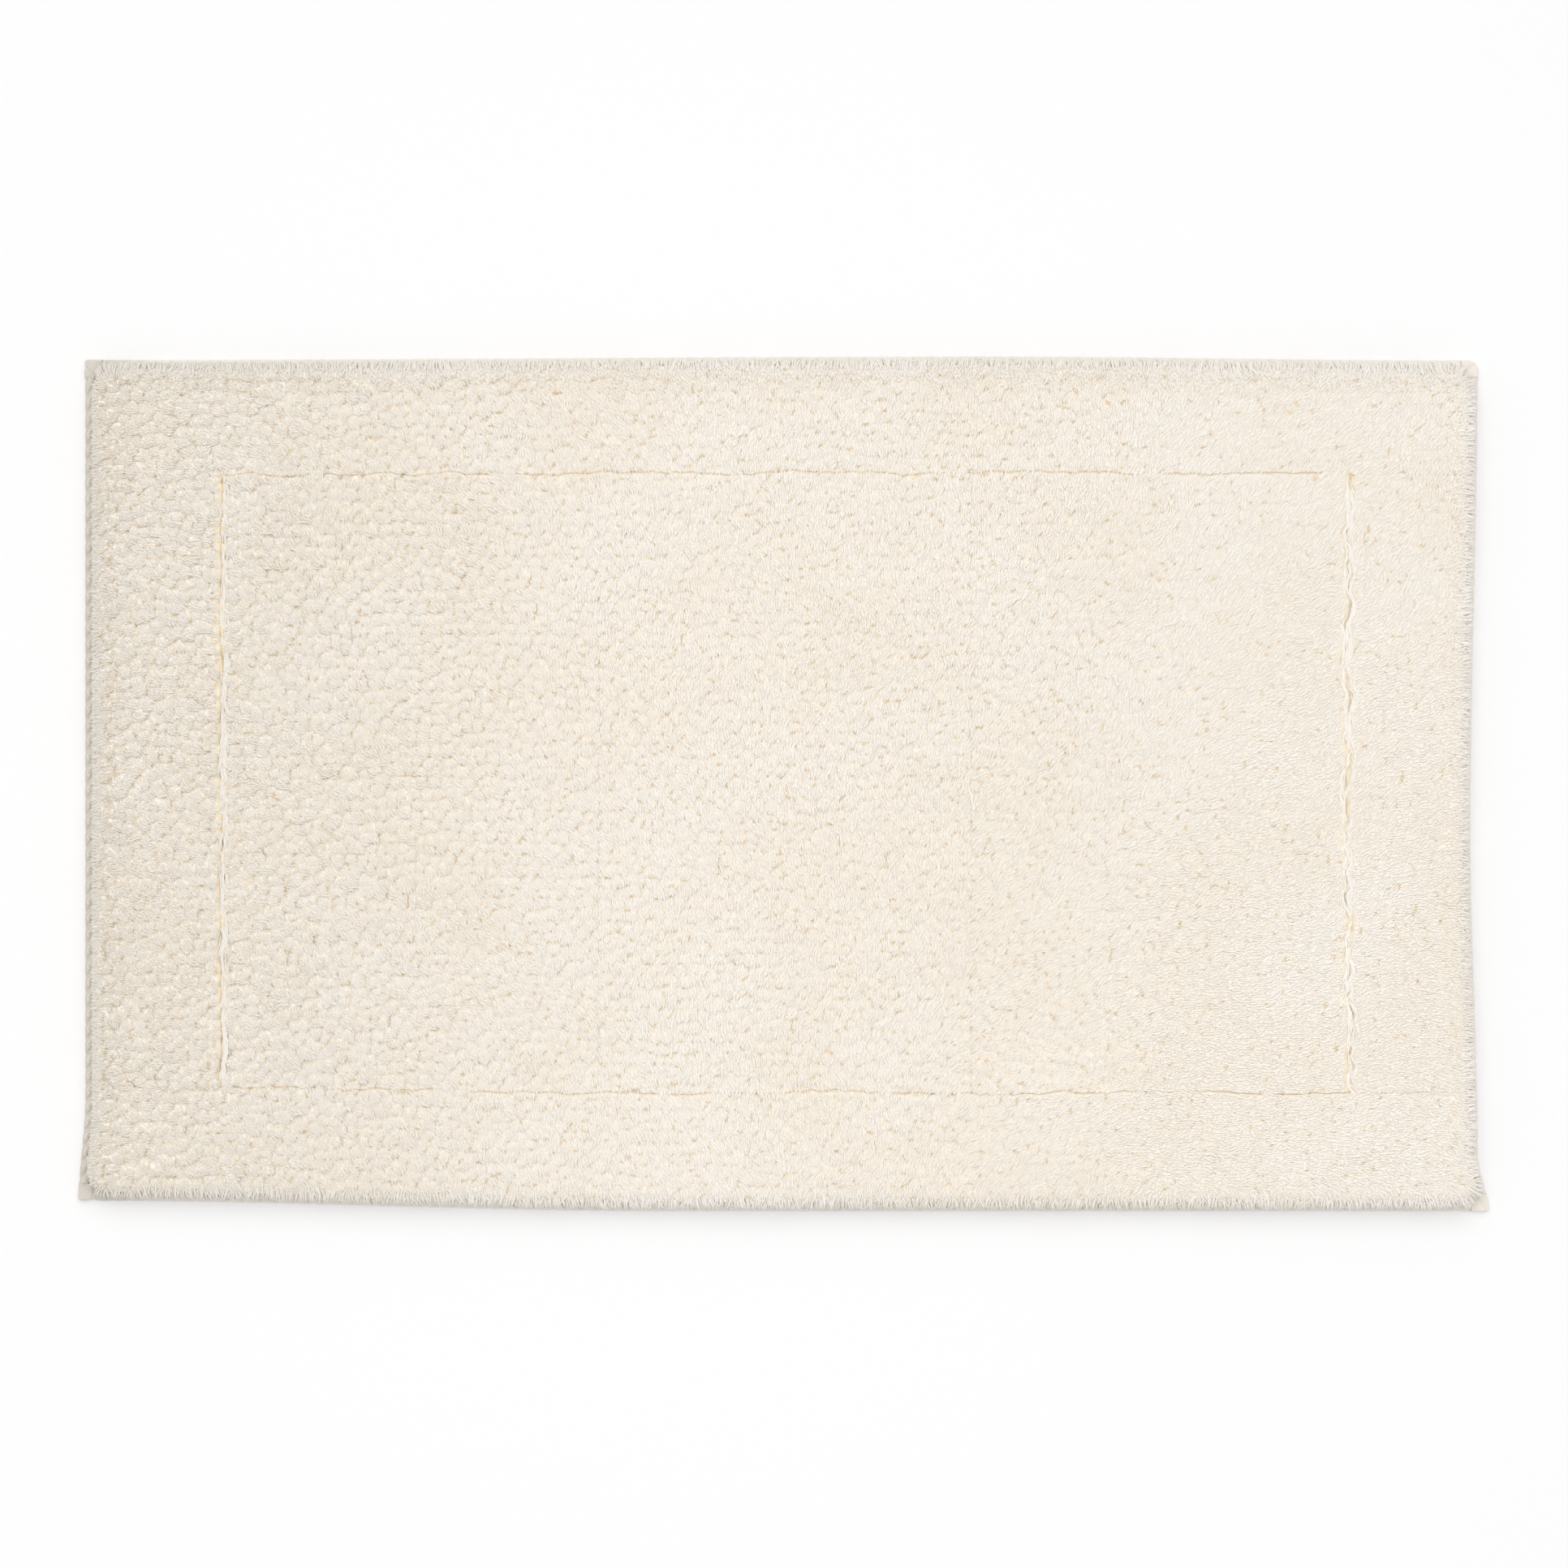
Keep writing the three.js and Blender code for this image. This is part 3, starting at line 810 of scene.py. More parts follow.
def edge_tufts():
    """Tufts that lean out over the hem all round and hang down the pile's side."""
    draw = np.random.default_rng(9)
    x, y, nx, ny = [], [], [], []
    run_x, run_y = HALF_LENGTH - PILE_INSET - PILE_CORNER, HALF_WIDTH - PILE_INSET - PILE_CORNER
    for ox, oy in ((0, -1), (1, 0), (0, 1), (-1, 0)):
        half_run, away = (run_x, HALF_WIDTH - PILE_INSET) if oy else (run_y, HALF_LENGTH - PILE_INSET)
        s = draw.uniform(-half_run, half_run, int(2 * half_run * EDGE_TUFTS_PER_METRE))
        x.append(ox * away - oy * s)
        y.append(oy * away + ox * s)
        nx.append(np.full(len(s), float(ox)))
        ny.append(np.full(len(s), float(oy)))
    for sx, sy in ((-1, -1), (1, -1), (1, 1), (-1, 1)):
        turn = draw.uniform(0, math.pi / 2, int(PILE_CORNER * math.pi / 2 * EDGE_TUFTS_PER_METRE * 0.85))
        cx, cy = sx * np.cos(turn), sy * np.sin(turn)
        x.append(sx * run_x + cx * PILE_CORNER)
        y.append(sy * run_y + cy * PILE_CORNER)
        nx.append(cx)
        ny.append(cy)
    x, y, nx, ny = (np.concatenate(v) for v in (x, y, nx, ny))
    count = len(x)
    level = draw.uniform(0, 1, count)  # 0 at the hem and 1 at the top of the pile
    inset = draw.uniform(0.2, 2.0, count) * MM + draw.uniform(0, 9, count) * MM * smooth(0.55, 1, level)
    x, y = x - nx * inset, y - ny * inset
    clump = drift(x, y, 9 * MM, 61) * 0.8 + drift(x, y, 4 * MM, 62) * 0.5
    slew = draw.normal(0, 0.2, count) + 0.55 * clump
    dx, dy = unit(nx - ny * slew, ny + nx * slew)
    reach = np.zeros(count)
    for step in np.arange(0.5, 22, 0.5) * MM:
        reach = np.where(cover(x + dx * step, y + dy * step) > 0, step, reach)
    out = np.minimum(reach * draw.uniform(0.55, 1.0, count) ** 0.6, draw.uniform(8, 17, count) * MM)
    left_side = smooth(0.6, 0.9, -nx)
    out = np.maximum(out, 1.2 * MM + inset * left_side)
    top = crest(x, y)
    back = LIP_TOP + 1.6 * MM + (top - LIP_TOP - 1.6 * MM) * level + 0.25 * MM * clump
    past = np.maximum(out - inset, 0) / (7 * MM)  # how far out over the hem the tip hangs
    drop = (0.6 + 3.2 * past + draw.uniform(0, 2.5, count) * past) * MM
    tip_z = np.maximum(back - drop, LIP_TOP + 0.6 * MM)
    spine = spine_of(
        (x - dx * 2.2 * MM, y - dy * 2.2 * MM, back - 1.5 * MM),
        (x + dx * out * 0.28, y + dy * out * 0.28, back),
        (x + dx * out * 0.72, y + dy * out * 0.72, back * 0.6 + tip_z * 0.4 + 0.1 * MM),
        (x + dx * out, y + dy * out, tip_z),
    )
    wide = TUFT_WIDTH * draw.uniform(0.75, 1.15, count)
    # Painted shade: low on the left side the tufts are marked lower along, so the pile wall beside the tape
    # is coloured tan
    left_wall_painted_shade = (left_side * smooth(0.75, 0.3, level))[:, None]
    along = np.array([0.1, 0.55, 0.8, 1.0]) * (1 - 0.6 * left_wall_painted_shade)
    # A random tone, less painted shade towards the mat's outside
    tone = 0.6 + 0.4 * draw.uniform(0, 1, count) - edge_painted_shade(x + nx * 4 * MM, y + ny * 4 * MM)
    return spine, wide[:, None] * np.array([1.0, 0.85]), tone, along


def groove_tufts(groove, count, strands, lean, seed):
    """Long tufts that have slipped down and lie along a side groove, in a few wavering strands.

    strands are places across the groove, as shares of half its width."""
    draw = np.random.default_rng(seed)
    s = draw.uniform(groove.start + 6 * MM, groove.stop - 6 * MM, count)
    strand = draw.integers(0, len(strands), count)
    length = draw.uniform(8, 19, count) * MM
    sign = np.where(draw.uniform(0, 1, count) < lean, -1, 1)
    there = smooth(-0.3, 0.1, drift(s, strand * 0.3, 14 * MM, seed + 1))
    keep = draw.uniform(0, 1, count) < there
    steps = np.linspace(0, 1, 5)
    along = s[:, None] + sign[:, None] * length[:, None] * steps
    lane = np.array(strands)[strand][:, None] * groove.roots
    weave = 0.55 * groove.roots * drift(along, (strand[:, None] + 1) * 0.4, 13 * MM, seed + 2)
    weave = weave + 0.7 * MM * drift(along, (strand[:, None] + 1) * 0.4, 6 * MM, seed + 3)
    off = groove.middle(along) + lane + weave + draw.normal(0, 0.6 * MM, (count, 1))
    off = off + draw.normal(0, 0.9 * MM, (count, 1)) * steps
    arch = np.array([-1.8, -0.1, 0.2, 0.1, -0.4]) * MM
    height = crest(off, along) - draw.uniform(0.2, 1.1, (count, 1)) * MM + arch
    spine = np.stack([off, along, height], axis=2)
    width = TUFT_WIDTH * draw.uniform(0.75, 1.05, count)[:, None] * np.array([1.0, 0.9, 0.6])
    along_marks = np.broadcast_to([0.3, 0.5, 0.8, 0.9, 1.0], (count, 5))
    return spine[keep], width[keep], draw.uniform(0.55, 1, count)[keep], along_marks[keep]


def field_of(x, y):
    """Which pile field a root stands in."""
    names = np.full(len(x), "centre_pile", dtype=object)
    names[x < GROOVE_LEFT] = "border_pile_left"
    names[x > GROOVE_RIGHT] = "border_pile_right"
    names[y < GROOVE_FRONT] = "border_pile_front"
    names[y > GROOVE_BACK] = "border_pile_back"
    return names


FIELDS = ("centre_pile", "border_pile_front", "border_pile_back", "border_pile_left", "border_pile_right")


def share_out(kind, most, finish, spine, width, tone, along_marks):
    """Makes the tufts of each pile field, in pieces of at most so many."""
    field = field_of(spine[:, 0, 0], spine[:, 0, 1])
    for name in FIELDS:
        mine = np.flatnonzero(field == name)
        if not len(mine):
            continue
        along = spine[mine, 0, 1] if name in ("border_pile_left", "border_pile_right") else spine[mine, 0, 0]
        mine = mine[np.argsort(along, kind="stable")]
        for k, chosen in enumerate(np.array_split(mine, math.ceil(len(mine) / most))):
            parts = (values[chosen] for values in (spine, width, tone, along_marks))
            dress(tuft_mesh(f"{name}_{kind}_{k + 1:02d}", *parts), finish, "pile", name)


def make_tufts(locks, finish):
    """All the tufts: over the fields, round the edge and along the two side grooves."""
    share_out("tufts", TUFTS_PER_PIECE, finish, *field_tufts(locks))
    share_out("edge_tufts", EDGE_TUFTS_PER_PIECE, finish, *edge_tufts())
    for side, laid in (
        ("left", groove_tufts(left_groove, 2500, (0.3, 0.65, 1.0), 0.5, 11)),
        ("right", groove_tufts(right_groove, 2500, (-0.6, 0.1, 0.8), 0.85, 12)),
    ):
        piece = tuft_mesh(f"border_pile_{side}_groove_tufts", *laid)
        dress(piece, finish, "pile", f"border_pile_{side}")


def bed(name, finish, locks, first=0.0, last=1.0, part=""):
    """The dense body of one pile field, under its tufts, closed all round."""
    lo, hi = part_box(name)
    start, stop = lo.x + (hi.x - lo.x) * first, lo.x + (hi.x - lo.x) * last
    cols = int((stop - start) / BED_STEP) + 1
    rows = int((hi.y - lo.y) / BED_STEP) + 1
    y, x = np.meshgrid(np.linspace(lo.y, hi.y, rows), np.linspace(start, stop, cols), indexing="ij")
    # Round the mat's own corners
    u = np.clip((np.abs(x) - (HALF_LENGTH - PILE_INSET - PILE_CORNER)) / PILE_CORNER, 0, 1)
    v = np.clip((np.abs(y) - (HALF_WIDTH - PILE_INSET - PILE_CORNER)) / PILE_CORNER, 0, 1)
    foot_x = x - np.sign(x) * PILE_CORNER * (u - u * np.sqrt(1 - v * v / 2))
    foot_y = y - np.sign(y) * PILE_CORNER * (v - v * np.sqrt(1 - u * u / 2))
    # The top leans over the grooves beside it until it almost meets its neighbour
    top_x, top_y = foot_x.copy(), foot_y.copy()
    for groove in grooves:
        near_side, far_side = (lo.y, hi.y) if groove.along_x else (lo.x, hi.x)
        side = np.sign((near_side + far_side) / 2 - groove.at)
        border = near_side if side > 0 else far_side
        if abs(border - groove.at) > 4 * MM:
            continue
        s, across = (top_x, top_y) if groove.along_x else (top_y, top_x)
        wanted = groove.middle(s) - side * 0.2 * groove.roots - border
        shift = wanted * smooth(BED_LEAN, 0, np.abs(across - border))
        if groove.along_x:
            top_y = top_y + shift
        else:
            top_x = top_x + shift
    lock, a, b, margin = locks.nearest(top_x, top_y)
    clump = clumping(top_x, top_y)
    edge, _, _ = pile_edge(top_x, top_y)
    raised = locks.height(lock, a, b, clump * smooth(2 * MM, 12 * MM, edge))
    opened, closing = locks.gap(top_x, top_y, lock)
    crevice = np.where(opened | closing, 1.0, 0.15 * clump) * np.exp(-((margin / 0.3) ** 2))
    z = crest(top_x, top_y) + raised - BED_DEPTH - 0.8 * MM * crevice
    z = z + 0.1 * MM * drift(top_x, top_y, 3 * MM, 51)
    # The deep mark says where the bed's colour gets painted shade: the crevices between locks and the grooves
    deep = crevice
    for groove in grooves + partings:
        s, d = groove.place(top_x, top_y)
        open_here = groove.presence(s) * np.exp(-((d / (0.75 * groove.roots)) ** 2))
        deep = np.maximum(deep, open_here * (1.5 if groove.roots > 2 * MM else 0.85))
        z = z - 0.15 * MM * open_here
    z = np.minimum(z, TOP - 1.2 * MM)
    rim = np.minimum(edge / (4 * MM), 1)
    z = z - 1.5 * MM * (1 - np.clip(rim, 0, 1)) ** 2
    upper = lie(np.stack([top_x, top_y, z], axis=-1))
    lower = lie(np.stack([foot_x, foot_y, np.full_like(z, PILE_FOOT)], axis=-1))
    marks = {"deep": np.concatenate([deep.ravel(), np.full(deep.size, 1.0)])}
    return dress(closed_slab(f"{name}_bed{part}", upper, lower, marks), finish, "pile", name)


# ---------------------------------------------------------------- hem

# Each side: its name, the outward direction, half its run and its distance from the middle
SIDES = {
    "front": (0, -1, HALF_LENGTH - TUCK - 0.3 * MM, HALF_WIDTH),
    "right": (1, 0, HALF_WIDTH - TUCK - 0.3 * MM, HALF_LENGTH),
    "back": (0, 1, HALF_LENGTH - TUCK - 0.3 * MM, HALF_WIDTH),
    "left": (-1, 0, HALF_WIDTH - TUCK - 0.3 * MM, HALF_LENGTH),
}
CREASE_SLANT = 1.15  # how far a crease runs along the edge for each step inwards


def on_side(side, inwards, along, height):
    """Points on one side of the mat, from the distance inwards, along the edge and up."""
    ox, oy, _, away = SIDES[side]
    x = ox * (away - inwards) - oy * along
    y = oy * (away - inwards) + ox * along
    return lie(np.stack(np.broadcast_arrays(x, y, height), axis=-1))


def pucker(inwards, along, side):
    """Height of the lobes that the hem stitching pulls the tape into, from 0 in a crease to 1."""
    wander = 0.10 * drift(along, 0 * along, 30 * MM, 60 + len(side))
    phase = (along + CREASE_SLANT * inwards) / STITCH_PITCH + wander
    share = np.abs(2 * (phase - np.floor(phase)) - 1)
    return 1 - share**3.4


def tape_top(inwards, lobe):
    """Height of the tape's upper face where its lobes are as full as lobe, 0 to 1."""
    crown = np.sin(math.pi * np.clip((inwards + 0.6 * MM) / (LIP_REACH + 1.6 * MM), 0, 1)) ** 0.6
    return LIP_TOP - 0.9 * MM + (0.4 + 2.3 * lobe) * MM * crown


def tape(side, finish):
    """Hem tape folded round the cloth's edge, puckered between its stitches."""
    half_run = SIDES[side][2]
    along = np.linspace(-half_run, half_run, int(2 * half_run / (0.9 * MM)) + 1)[:, None]
    wall, fold, lip_start, inner_start = TAPE_WALL, 1.6 * MM, 1.3 * MM, TAPE_WALL + 0.2 * MM
    # The section's outer face and the inner face under it, as distance inwards and height
    returns, bends, lips = (1.0, 0.75, 0.5, 0.25), np.linspace(0.3, 2.0, 6), np.linspace(0, 1, 9)
    under = [(HEM_REACH * k, 0.0) for k in returns]
    turn = [(fold - fold * math.sin(t), fold - fold * math.cos(t)) for t in bends]
    lip = [(lip_start + (LIP_REACH - lip_start) * k, LIP_TOP) for k in lips]
    outer = np.array(under + turn + lip)
    inner = np.array(
        [(HEM_REACH * k, wall) for k in returns] + [(wall, wall + 0.1 * MM * k) for k in range(len(turn))]
        + [(inner_start + (LIP_REACH - wall - 0.2 * MM) * k, LIP_TOP - wall) for k in lips]
    )
    lobe = pucker(outer[:, 0][None], along, side)
    top = np.arange(len(outer)) >= len(under) + len(turn)
    bulge = (np.arange(len(outer)) >= len(under)) * np.interp(outer[:, 0], [0, 1.5 * MM], [1, 0])
    x = outer[:, 0] - bulge * (lobe * 0.5 * MM - 0.2 * MM)
    z = np.where(top, tape_top(x, lobe), outer[:, 1])
    raised = np.minimum(inner[:, 1] + np.maximum(z - LIP_TOP, 0) * 0.8, z - 0.35 * MM)
    inner_z = np.where(top, raised, inner[:, 1])
    section_x = np.concatenate([x, np.broadcast_to(inner[:, 0], x.shape)[:, ::-1]], axis=1)
    section_z = np.concatenate([z, inner_z[:, ::-1]], axis=1)
    points = on_side(side, section_x, along, section_z)
    rows, cols = points.shape[:2]
    index = np.arange(rows * cols).reshape(rows, cols)
    ahead = np.roll(index, -1, axis=1)
    walls = np.stack([index[:-1], index[1:], ahead[1:], ahead[:-1]], axis=-1).reshape(-1, 4)
    half = len(outer)
    pairs = np.arange(half - 1)
    start = np.stack([pairs, pairs + 1, cols - 2 - pairs, cols - 1 - pairs], axis=-1)
    stop = start[:, ::-1] + index[-1][0]
    faces = np.concatenate([walls, start, stop])
    u, v = np.linspace(0, 0.94, cols + 1), np.linspace(0, 1, rows)
    wall_map = wrap_map(u, v, ((0, 0), (0, 1), (1, 1), (1, 0)))
    cap = np.array([[0.95, 0.0], [0.99, 0.0], [0.99, 0.02], [0.95, 0.02]])
    cap_map = cap + np.stack([np.zeros(2 * half - 2), np.linspace(0, 0.97, 2 * half - 2)], -1)[:, None]
    maps = np.concatenate([wall_map, cap_map])
    piece = add_mesh(f"hem_tape_{side}_puckered", points.reshape(-1, 3), faces, np.full(len(faces), 4), maps)
    dress(piece, finish, "hem_tape", f"hem_tape_{side}")
    2 * half_run
    return piece


def cord_mesh(name, path, radius):
    """A closed, twisted thread along a path of points, its two ends drawn to a point."""
    sides, twist = 6, 2 * math.pi / THREAD_TWIST
    tangent = np.gradient(path, axis=0)
    tangent /= np.linalg.norm(tangent, axis=1, keepdims=True)
    side = np.cross(tangent, [0, 0, 1.0])
    side /= np.maximum(np.linalg.norm(side, axis=1, keepdims=True), 1e-9)
    over = np.cross(side, tangent)
    length = np.concatenate([[0], np.cumsum(np.linalg.norm(np.diff(path, axis=0), axis=1))])
    turn = -np.arange(sides) / sides * 2 * math.pi
    reach = radius * (1 + CORD_LOBE * np.cos(2 * (turn[None] - twist * length[:, None])))
    ring = path[:, None] + side[:, None] * (np.cos(turn) * reach)[..., None]
    ring = ring + over[:, None] * (np.sin(turn) * reach)[..., None]
    count = len(path)
    ends = np.stack([path[0] - tangent[0] * radius, path[-1] + tangent[-1] * radius])
    points = np.concatenate([ring.reshape(-1, 3), ends])
    index = np.arange(count * sides).reshape(count, sides)
    ahead = np.roll(index, -1, axis=1)
    walls = np.stack([index[:-1], ahead[:-1], ahead[1:], index[1:]], axis=-1).reshape(-1, 4)
    first = np.stack([np.full(sides, count * sides), ahead[0], index[0]], -1)
    last = np.stack([np.full(sides, count * sides + 1), index[-1], ahead[-1]], -1)
    faces = np.concatenate([walls.ravel(), first.ravel(), last.ravel()])
    sizes = [4] * len(walls) + [3] * (2 * sides)
    u, v = np.linspace(0, 1, sides + 1), np.linspace(0.02, 0.98, count)
    wall_map = wrap_map(u, v, ((0, 0), (1, 0), (1, 1), (0, 1))).reshape(-1, 2)
    caps = []
    for point, base, before, after in ((0, 0.02, 1, 0), (1, 0.98, 0, 1)):
        for k in range(sides):
            caps += [[(k + 0.5) / sides, point], [(k + before) / sides, base], [(k + after) / sides, base]]
    return add_mesh(name, points, faces, sizes, np.concatenate([wall_map, caps]))


def seam(side, finish):
    """Zigzag hem stitch: one leg lies in each crease and the next crosses the lobe beside it."""
    half_run = SIDES[side][2] - STITCH_PITCH
    near, far = 1.7 * MM, 6.0 * MM
    phase = np.linspace(0, 2 * half_run / STITCH_PITCH, int(2 * half_run / (0.45 * MM)))
    wave = phase - np.floor(phase)
    leg = CREASE_SLANT * (far - near) / STITCH_PITCH  # share of the pitch that a crease's leg takes
    swing = far - near
    inwards = np.where(wave < leg, far - swing * wave / leg, near + swing * (wave - leg) / (1 - leg))
    along = -half_run + phase * STITCH_PITCH
    # The leg in a crease follows it
    shift = -CREASE_SLANT * far - np.floor((-half_run) / STITCH_PITCH) * STITCH_PITCH - half_run
    along = along + np.mod(shift, STITCH_PITCH)
    kept = along < half_run
    inwards, along = inwards[kept], along[kept]
    lobe = pucker(inwards, along, side)
    height = tape_top(inwards, lobe) + 0.12 * MM
    path = on_side(side, inwards, along, height)
    piece = cord_mesh(f"hem_thread_{side}_zigzag", path, HEM_THREAD)
    return dress(piece, finish, "thread", f"hem_thread_{side}")


def tuck(name, sx, sy, radius, finish, surface):
    """Folded cloth at one corner; surface gives the top's height and how far the outline moves."""
    n = 34
    v, u = np.meshgrid(np.linspace(0, 1, n), np.linspace(0, 1, n), indexing="ij")
    x, y = TUCK_SIZE * u, TUCK_SIZE * v  # distance inwards from the outline's corner
    # Round the outer corner
    a, b = np.clip(1 - x / radius, 0, 1), np.clip(1 - y / radius, 0, 1)
    x, y = x + radius * (a - a * np.sqrt(1 - b * b / 2)), y + radius * (b - b * np.sqrt(1 - a * a / 2))
    top, out_x, out_y = surface(x, y)
    rim = np.minimum(np.minimum(u, v), 0.12) / 0.12
    rounding = 1 - np.sqrt(1 - (1 - rim) ** 2)
    top = top - 0.9 * MM * rounding
    grow = smooth(0.5, 0.0, u), smooth(0.5, 0.0, v)
    px = sx * (HALF_LENGTH - x + out_x * grow[0])
    py = sy * (HALF_WIDTH - y + out_y * grow[1])
    upper = lie(np.stack([px, py, top], axis=-1))
    lower = lie(np.stack([px, py, 0.35 * MM * rounding], axis=-1))
    if sx > 0:
        upper, lower = upper[:, ::-1], lower[:, ::-1]
    if sy > 0:
        upper, lower = upper[::-1], lower[::-1]
    piece = closed_slab(f"corner_tuck_{name}_folded", upper, lower)
    return dress(piece, finish, "hem_tape", f"corner_tuck_{name}")


def tuck_seam(name, sx, sy, finish):
    """Short close zigzag over the joint between a tuck and the side's tape."""
    reach = LIP_REACH - 1.6 * MM
    steps = np.linspace(0, 1, 90)
    inwards = 0.8 * MM + reach * steps
    swing = 1.0 * MM * (2 * np.abs(2 * np.mod(reach * steps / (1.8 * MM), 1) - 1) - 1)
    along = TUCK_SIZE + 0.15 * MM + swing
    height = LIP_TOP + 0.55 * MM - 0.25 * MM * (swing / (1.0 * MM)) ** 2
    path = lie(np.stack([sx * (HALF_LENGTH - inwards), sy * (HALF_WIDTH - along), height], axis=-1))
    piece = cord_mesh(f"tuck_thread_{name}_zigzag", path, TUCK_THREAD)
    return dress(piece, finish, "thread", f"tuck_thread_{name}")


def tuck_surfaces():
    """The top of each corner's tuck, from the distances inwards from its two sides."""

    def lobed(x, y):
        """Puckered like the tape beside it."""
        lobe = pucker(x, HALF_WIDTH - y, "left") * smooth(0, 2 * MM, y + x)
        return LIP_TOP + 0.9 * MM * lobe, 0.7 * MM * lobe - 0.3 * MM, 0.2 * MM + 0 * x

    def pinched(x, y):
        """Drawn together along a crease from the corner."""
        fold = np.abs(y - 0.8 * x - 1.5 * MM) / (1.6 * MM)
        rise = 0.9 * MM * smooth(0, 14 * MM, x + y) - 0.8 * MM * np.exp(-fold**2)
        return LIP_TOP + 0.4 * MM + rise, 0 * x, 0 * x

    def square(x, y):
        """Flat with one fold across it."""
        fold = np.exp(-(((x - 10.2 * MM) / (0.7 * MM)) ** 2))
        rise = 0.35 * MM * np.cos(y / (3.1 * MM)) - 0.9 * MM * fold
        return LIP_TOP + 0.5 * MM + rise, 0.3 * MM + 0 * x, -1.1 * MM * smooth(0, TUCK_SIZE, x)

    def eared(x, y):
        """Standing up a little at its corner."""
        fold = np.abs(x - y * 0.55 - 2.2 * MM) / (1.3 * MM)
        rise = 0.8 * MM * smooth(12 * MM, 2 * MM, x + y) - 0.7 * MM * np.exp(-fold**2)
        return LIP_TOP + 0.5 * MM + rise, 0.4 * MM + 0 * x, 0.2 * MM + 0 * x

    return {
        "front_left": (-1, -1, 2.0 * MM, square), "front_right": (1, -1, 2.2 * MM, eared),
        "back_right": (1, 1, 6.5 * MM, pinched), "back_left": (-1, 1, 1.8 * MM, lobed),
    }


# ---------------------------------------------------------------- cloth and latex


def ground_cloth(finish):
    """Woven backing, one closed ply, with faint soft waves."""
    lo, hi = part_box("ground_cloth")
    cols, rows = 248, 152
    y, x = np.meshgrid(np.linspace(lo.y, hi.y, rows), np.linspace(lo.x, hi.x, cols), indexing="ij")
    # Its corners are clipped where the tucks go
    clip = TUCK + 0.3 * MM
    u = np.clip((np.abs(x) - (HALF_LENGTH - clip)) / clip, 0, 1)
    v = np.clip((np.abs(y) - (HALF_WIDTH - clip)) / clip, 0, 1)
    x, y = x - np.sign(x) * clip * 0.8 * u * (v > 0), y - np.sign(y) * clip * 0.8 * v * (u > 0)
    wave = 0.12 * MM * drift(x, y, 14 * MM, 71)
    upper = lie(np.stack([x, y, np.full_like(x, hi.z) + wave - 0.12 * MM], axis=-1))
    lower = lie(np.stack([x, y, np.full_like(x, lo.z) + wave], axis=-1))
    piece = dress(closed_slab("ground_cloth_woven", upper, lower), finish, "ground_cloth", "ground_cloth")
    return piece


def latex_back(finish):
    """Latex coat under the cloth: it follows the tufting rows, with a few pits and thin spots."""
    lo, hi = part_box("tuft_lock_latex")
    cols, rows = 160, 300
    y, x = np.meshgrid(np.linspace(lo.y, hi.y, rows), np.linspace(lo.x, hi.x, cols), indexing="ij")
    ribs = 0.16 * MM * (0.5 - 0.5 * np.cos(y * 2 * math.pi / (9 * MM)))
    pits = 0.25 * MM * smooth(0.55, 0.8, drift(x, y, 9 * MM, 72))
    lower = lie(np.stack([x, y, lo.z + ribs + pits + 0.06 * MM * (1 + drift(x, y, 5 * MM, 73))], axis=-1))
    upper = lie(np.stack([x, y, np.full_like(x, hi.z)], axis=-1))
    return dress(closed_slab("tuft_lock_latex_coat", upper, lower), finish, "latex", "tuft_lock_latex")


# ---------------------------------------------------------------- studio


FLOOR_REACH = 4.0
FLOOR_LEVEL = -0.4 * MM
VIEW_WIDTH = 1117.3 * MM  # how much of the floor's length the camera takes in, at the hem's height


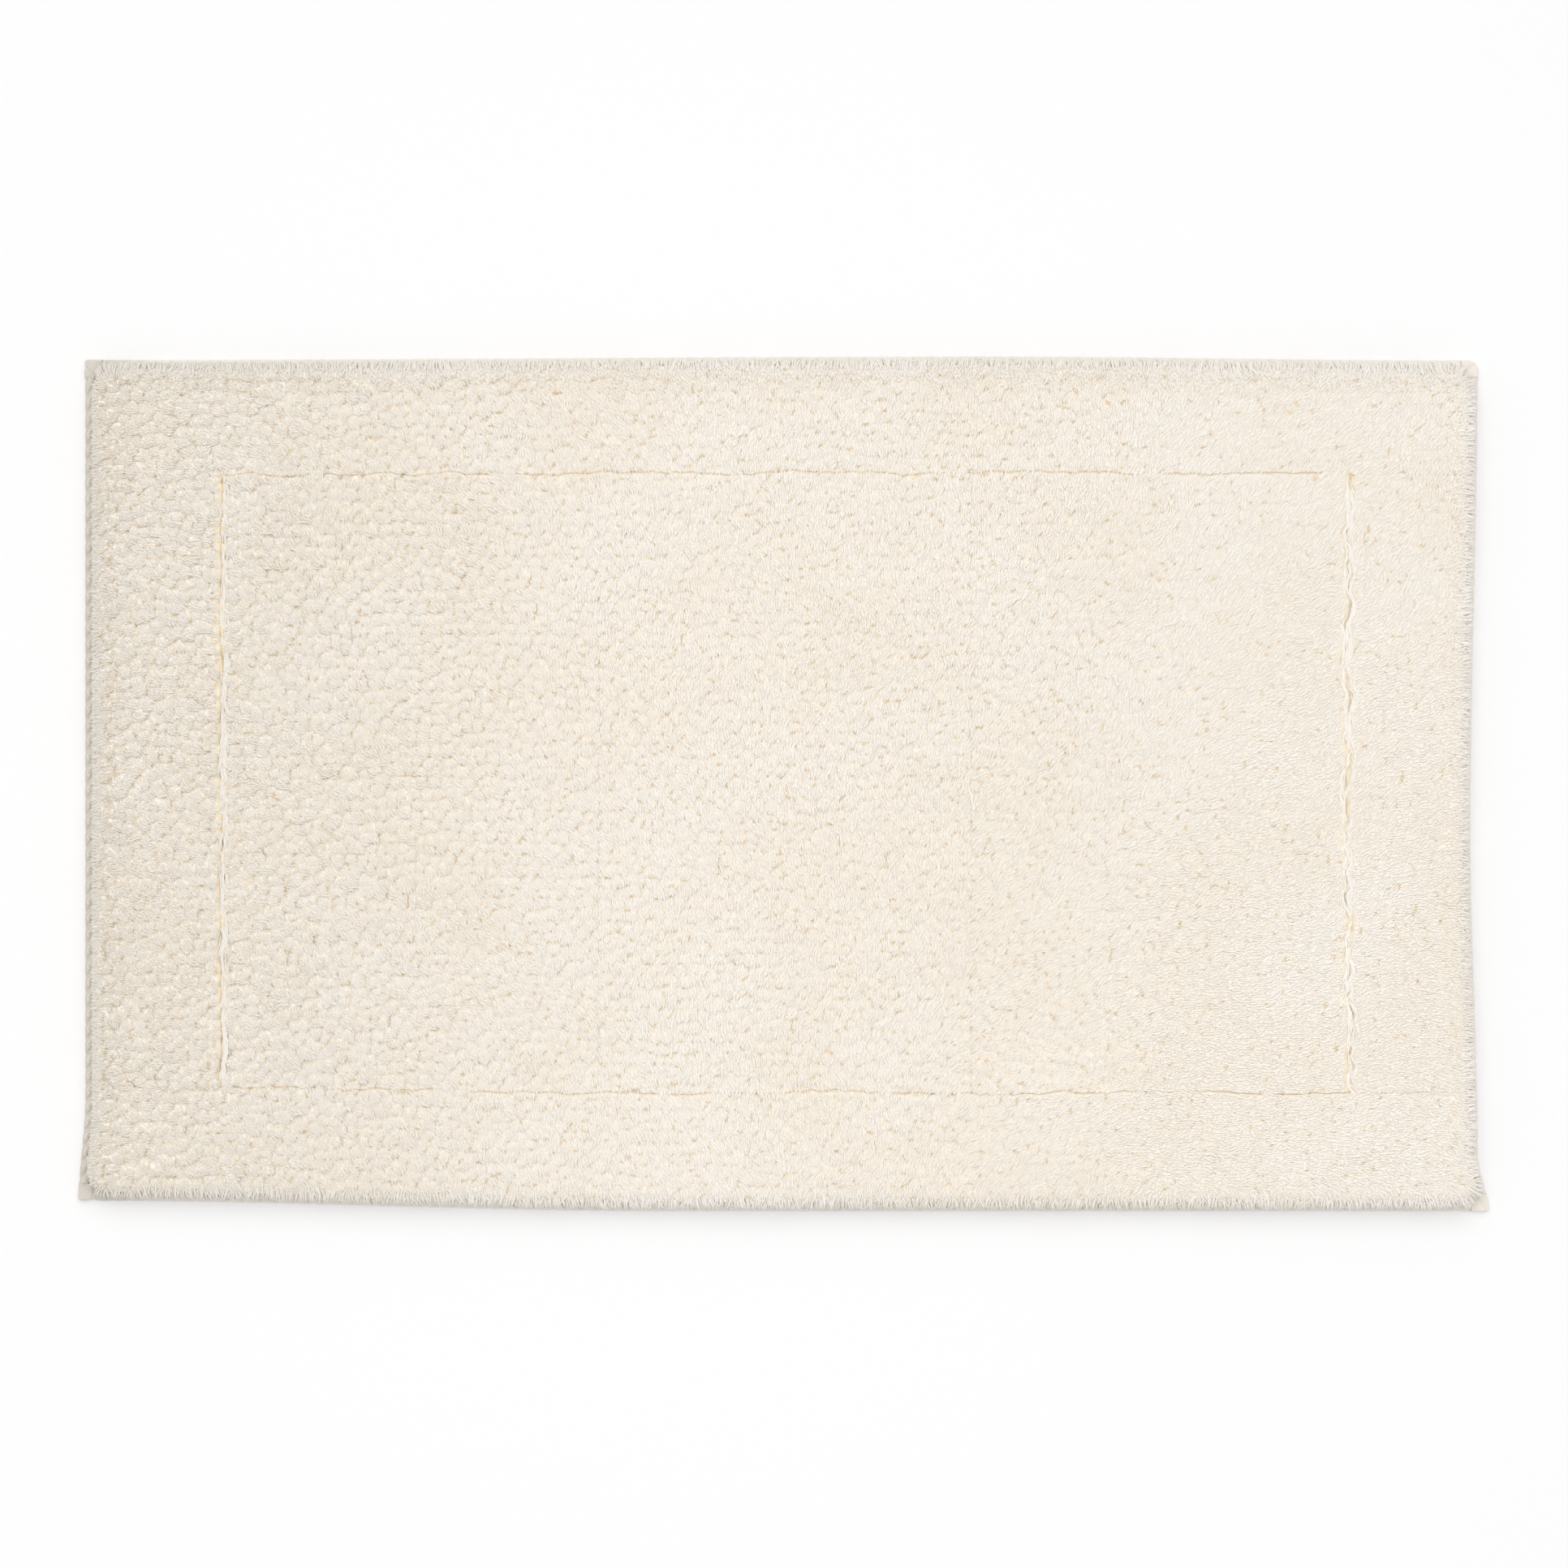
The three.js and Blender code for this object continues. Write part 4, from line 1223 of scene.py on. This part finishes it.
def studio():
    """Pale floor, soft light and a camera looking straight down."""
    corners = ((0, 0), (1, 0), (1, 1), (0, 1))
    floor_points = [(FLOOR_REACH * (2 * x - 1), FLOOR_REACH * (2 * y - 1), FLOOR_LEVEL) for x, y in corners]
    floor = add_mesh("studio_floor", np.array(floor_points), [0, 1, 2, 3], [4], corners)
    floor.data.materials.append(floor_finish())

    world = bpy.data.worlds.new("studio_fill")
    world.use_nodes = True
    fill = world.node_tree.nodes["Background"]
    fill.inputs["Color"].default_value = (1.0, 1.0, 1.0, 1)
    fill.inputs["Strength"].default_value = 0.578
    bpy.context.scene.world = world

    scene = bpy.context.scene
    sun = bpy.data.lights.new("overhead_light", "SUN")
    sun.energy, sun.angle = 1.5, math.radians(76)
    overhead = bpy.data.objects.new("overhead_light", sun)
    overhead.rotation_euler = (math.radians(-20), 0, 0)
    scene.collection.objects.link(overhead)
    panel = bpy.data.lights.new("window_light", "AREA")
    panel.shape, panel.size, panel.energy = "SQUARE", 1.2, 2.6
    window = bpy.data.objects.new("window_light", panel)
    window.location = (-0.1, 0.0, 1.8)
    window.rotation_euler = (-window.location).to_track_quat("-Z", "Y").to_euler()
    scene.collection.objects.link(window)

    camera = bpy.data.cameras.new("camera")
    camera.lens, camera.sensor_width = 100, 36
    view = bpy.data.objects.new("camera", camera)
    view.location = (2.9 * MM, 0, LIP_TOP + VIEW_WIDTH * camera.lens / camera.sensor_width)
    scene.collection.objects.link(view)
    scene.camera = view
    scene.view_settings.view_transform = "Standard"


pile = pile_finish()
bed_colour = bed_finish()
# The hem tape is darkened at the mat's left end as painted shade
tape_cloth = woven_finish(
    "hem_tape_cotton", (0.90, 0.85, 0.78), (0.81, 0.75, 0.67), 900, 0.85, left=(0.8, 0.8, 0.8)
)
ground = woven_finish("ground_cloth_cotton", (0.84, 0.74, 0.58), (0.70, 0.58, 0.42), 700, 0.9)
thread = thread_finish()

studio()
ground_cloth(ground)
latex_back(latex_finish())
for side in SIDES:
    tape(side, tape_cloth)
    seam(side, thread)
for name, (sx, sy, radius, surface) in tuck_surfaces().items():
    tuck(name, sx, sy, radius, tape_cloth, surface)
    tuck_seam(name, sx, sy, thread)
locks = Locks(np.random.default_rng(5))
for third in range(3):
    bed("centre_pile", bed_colour, locks, third / 3, (third + 1) / 3, f"_{third + 1}")
for field in FIELDS[1:]:
    bed(field, bed_colour, locks)
make_tufts(locks, pile)
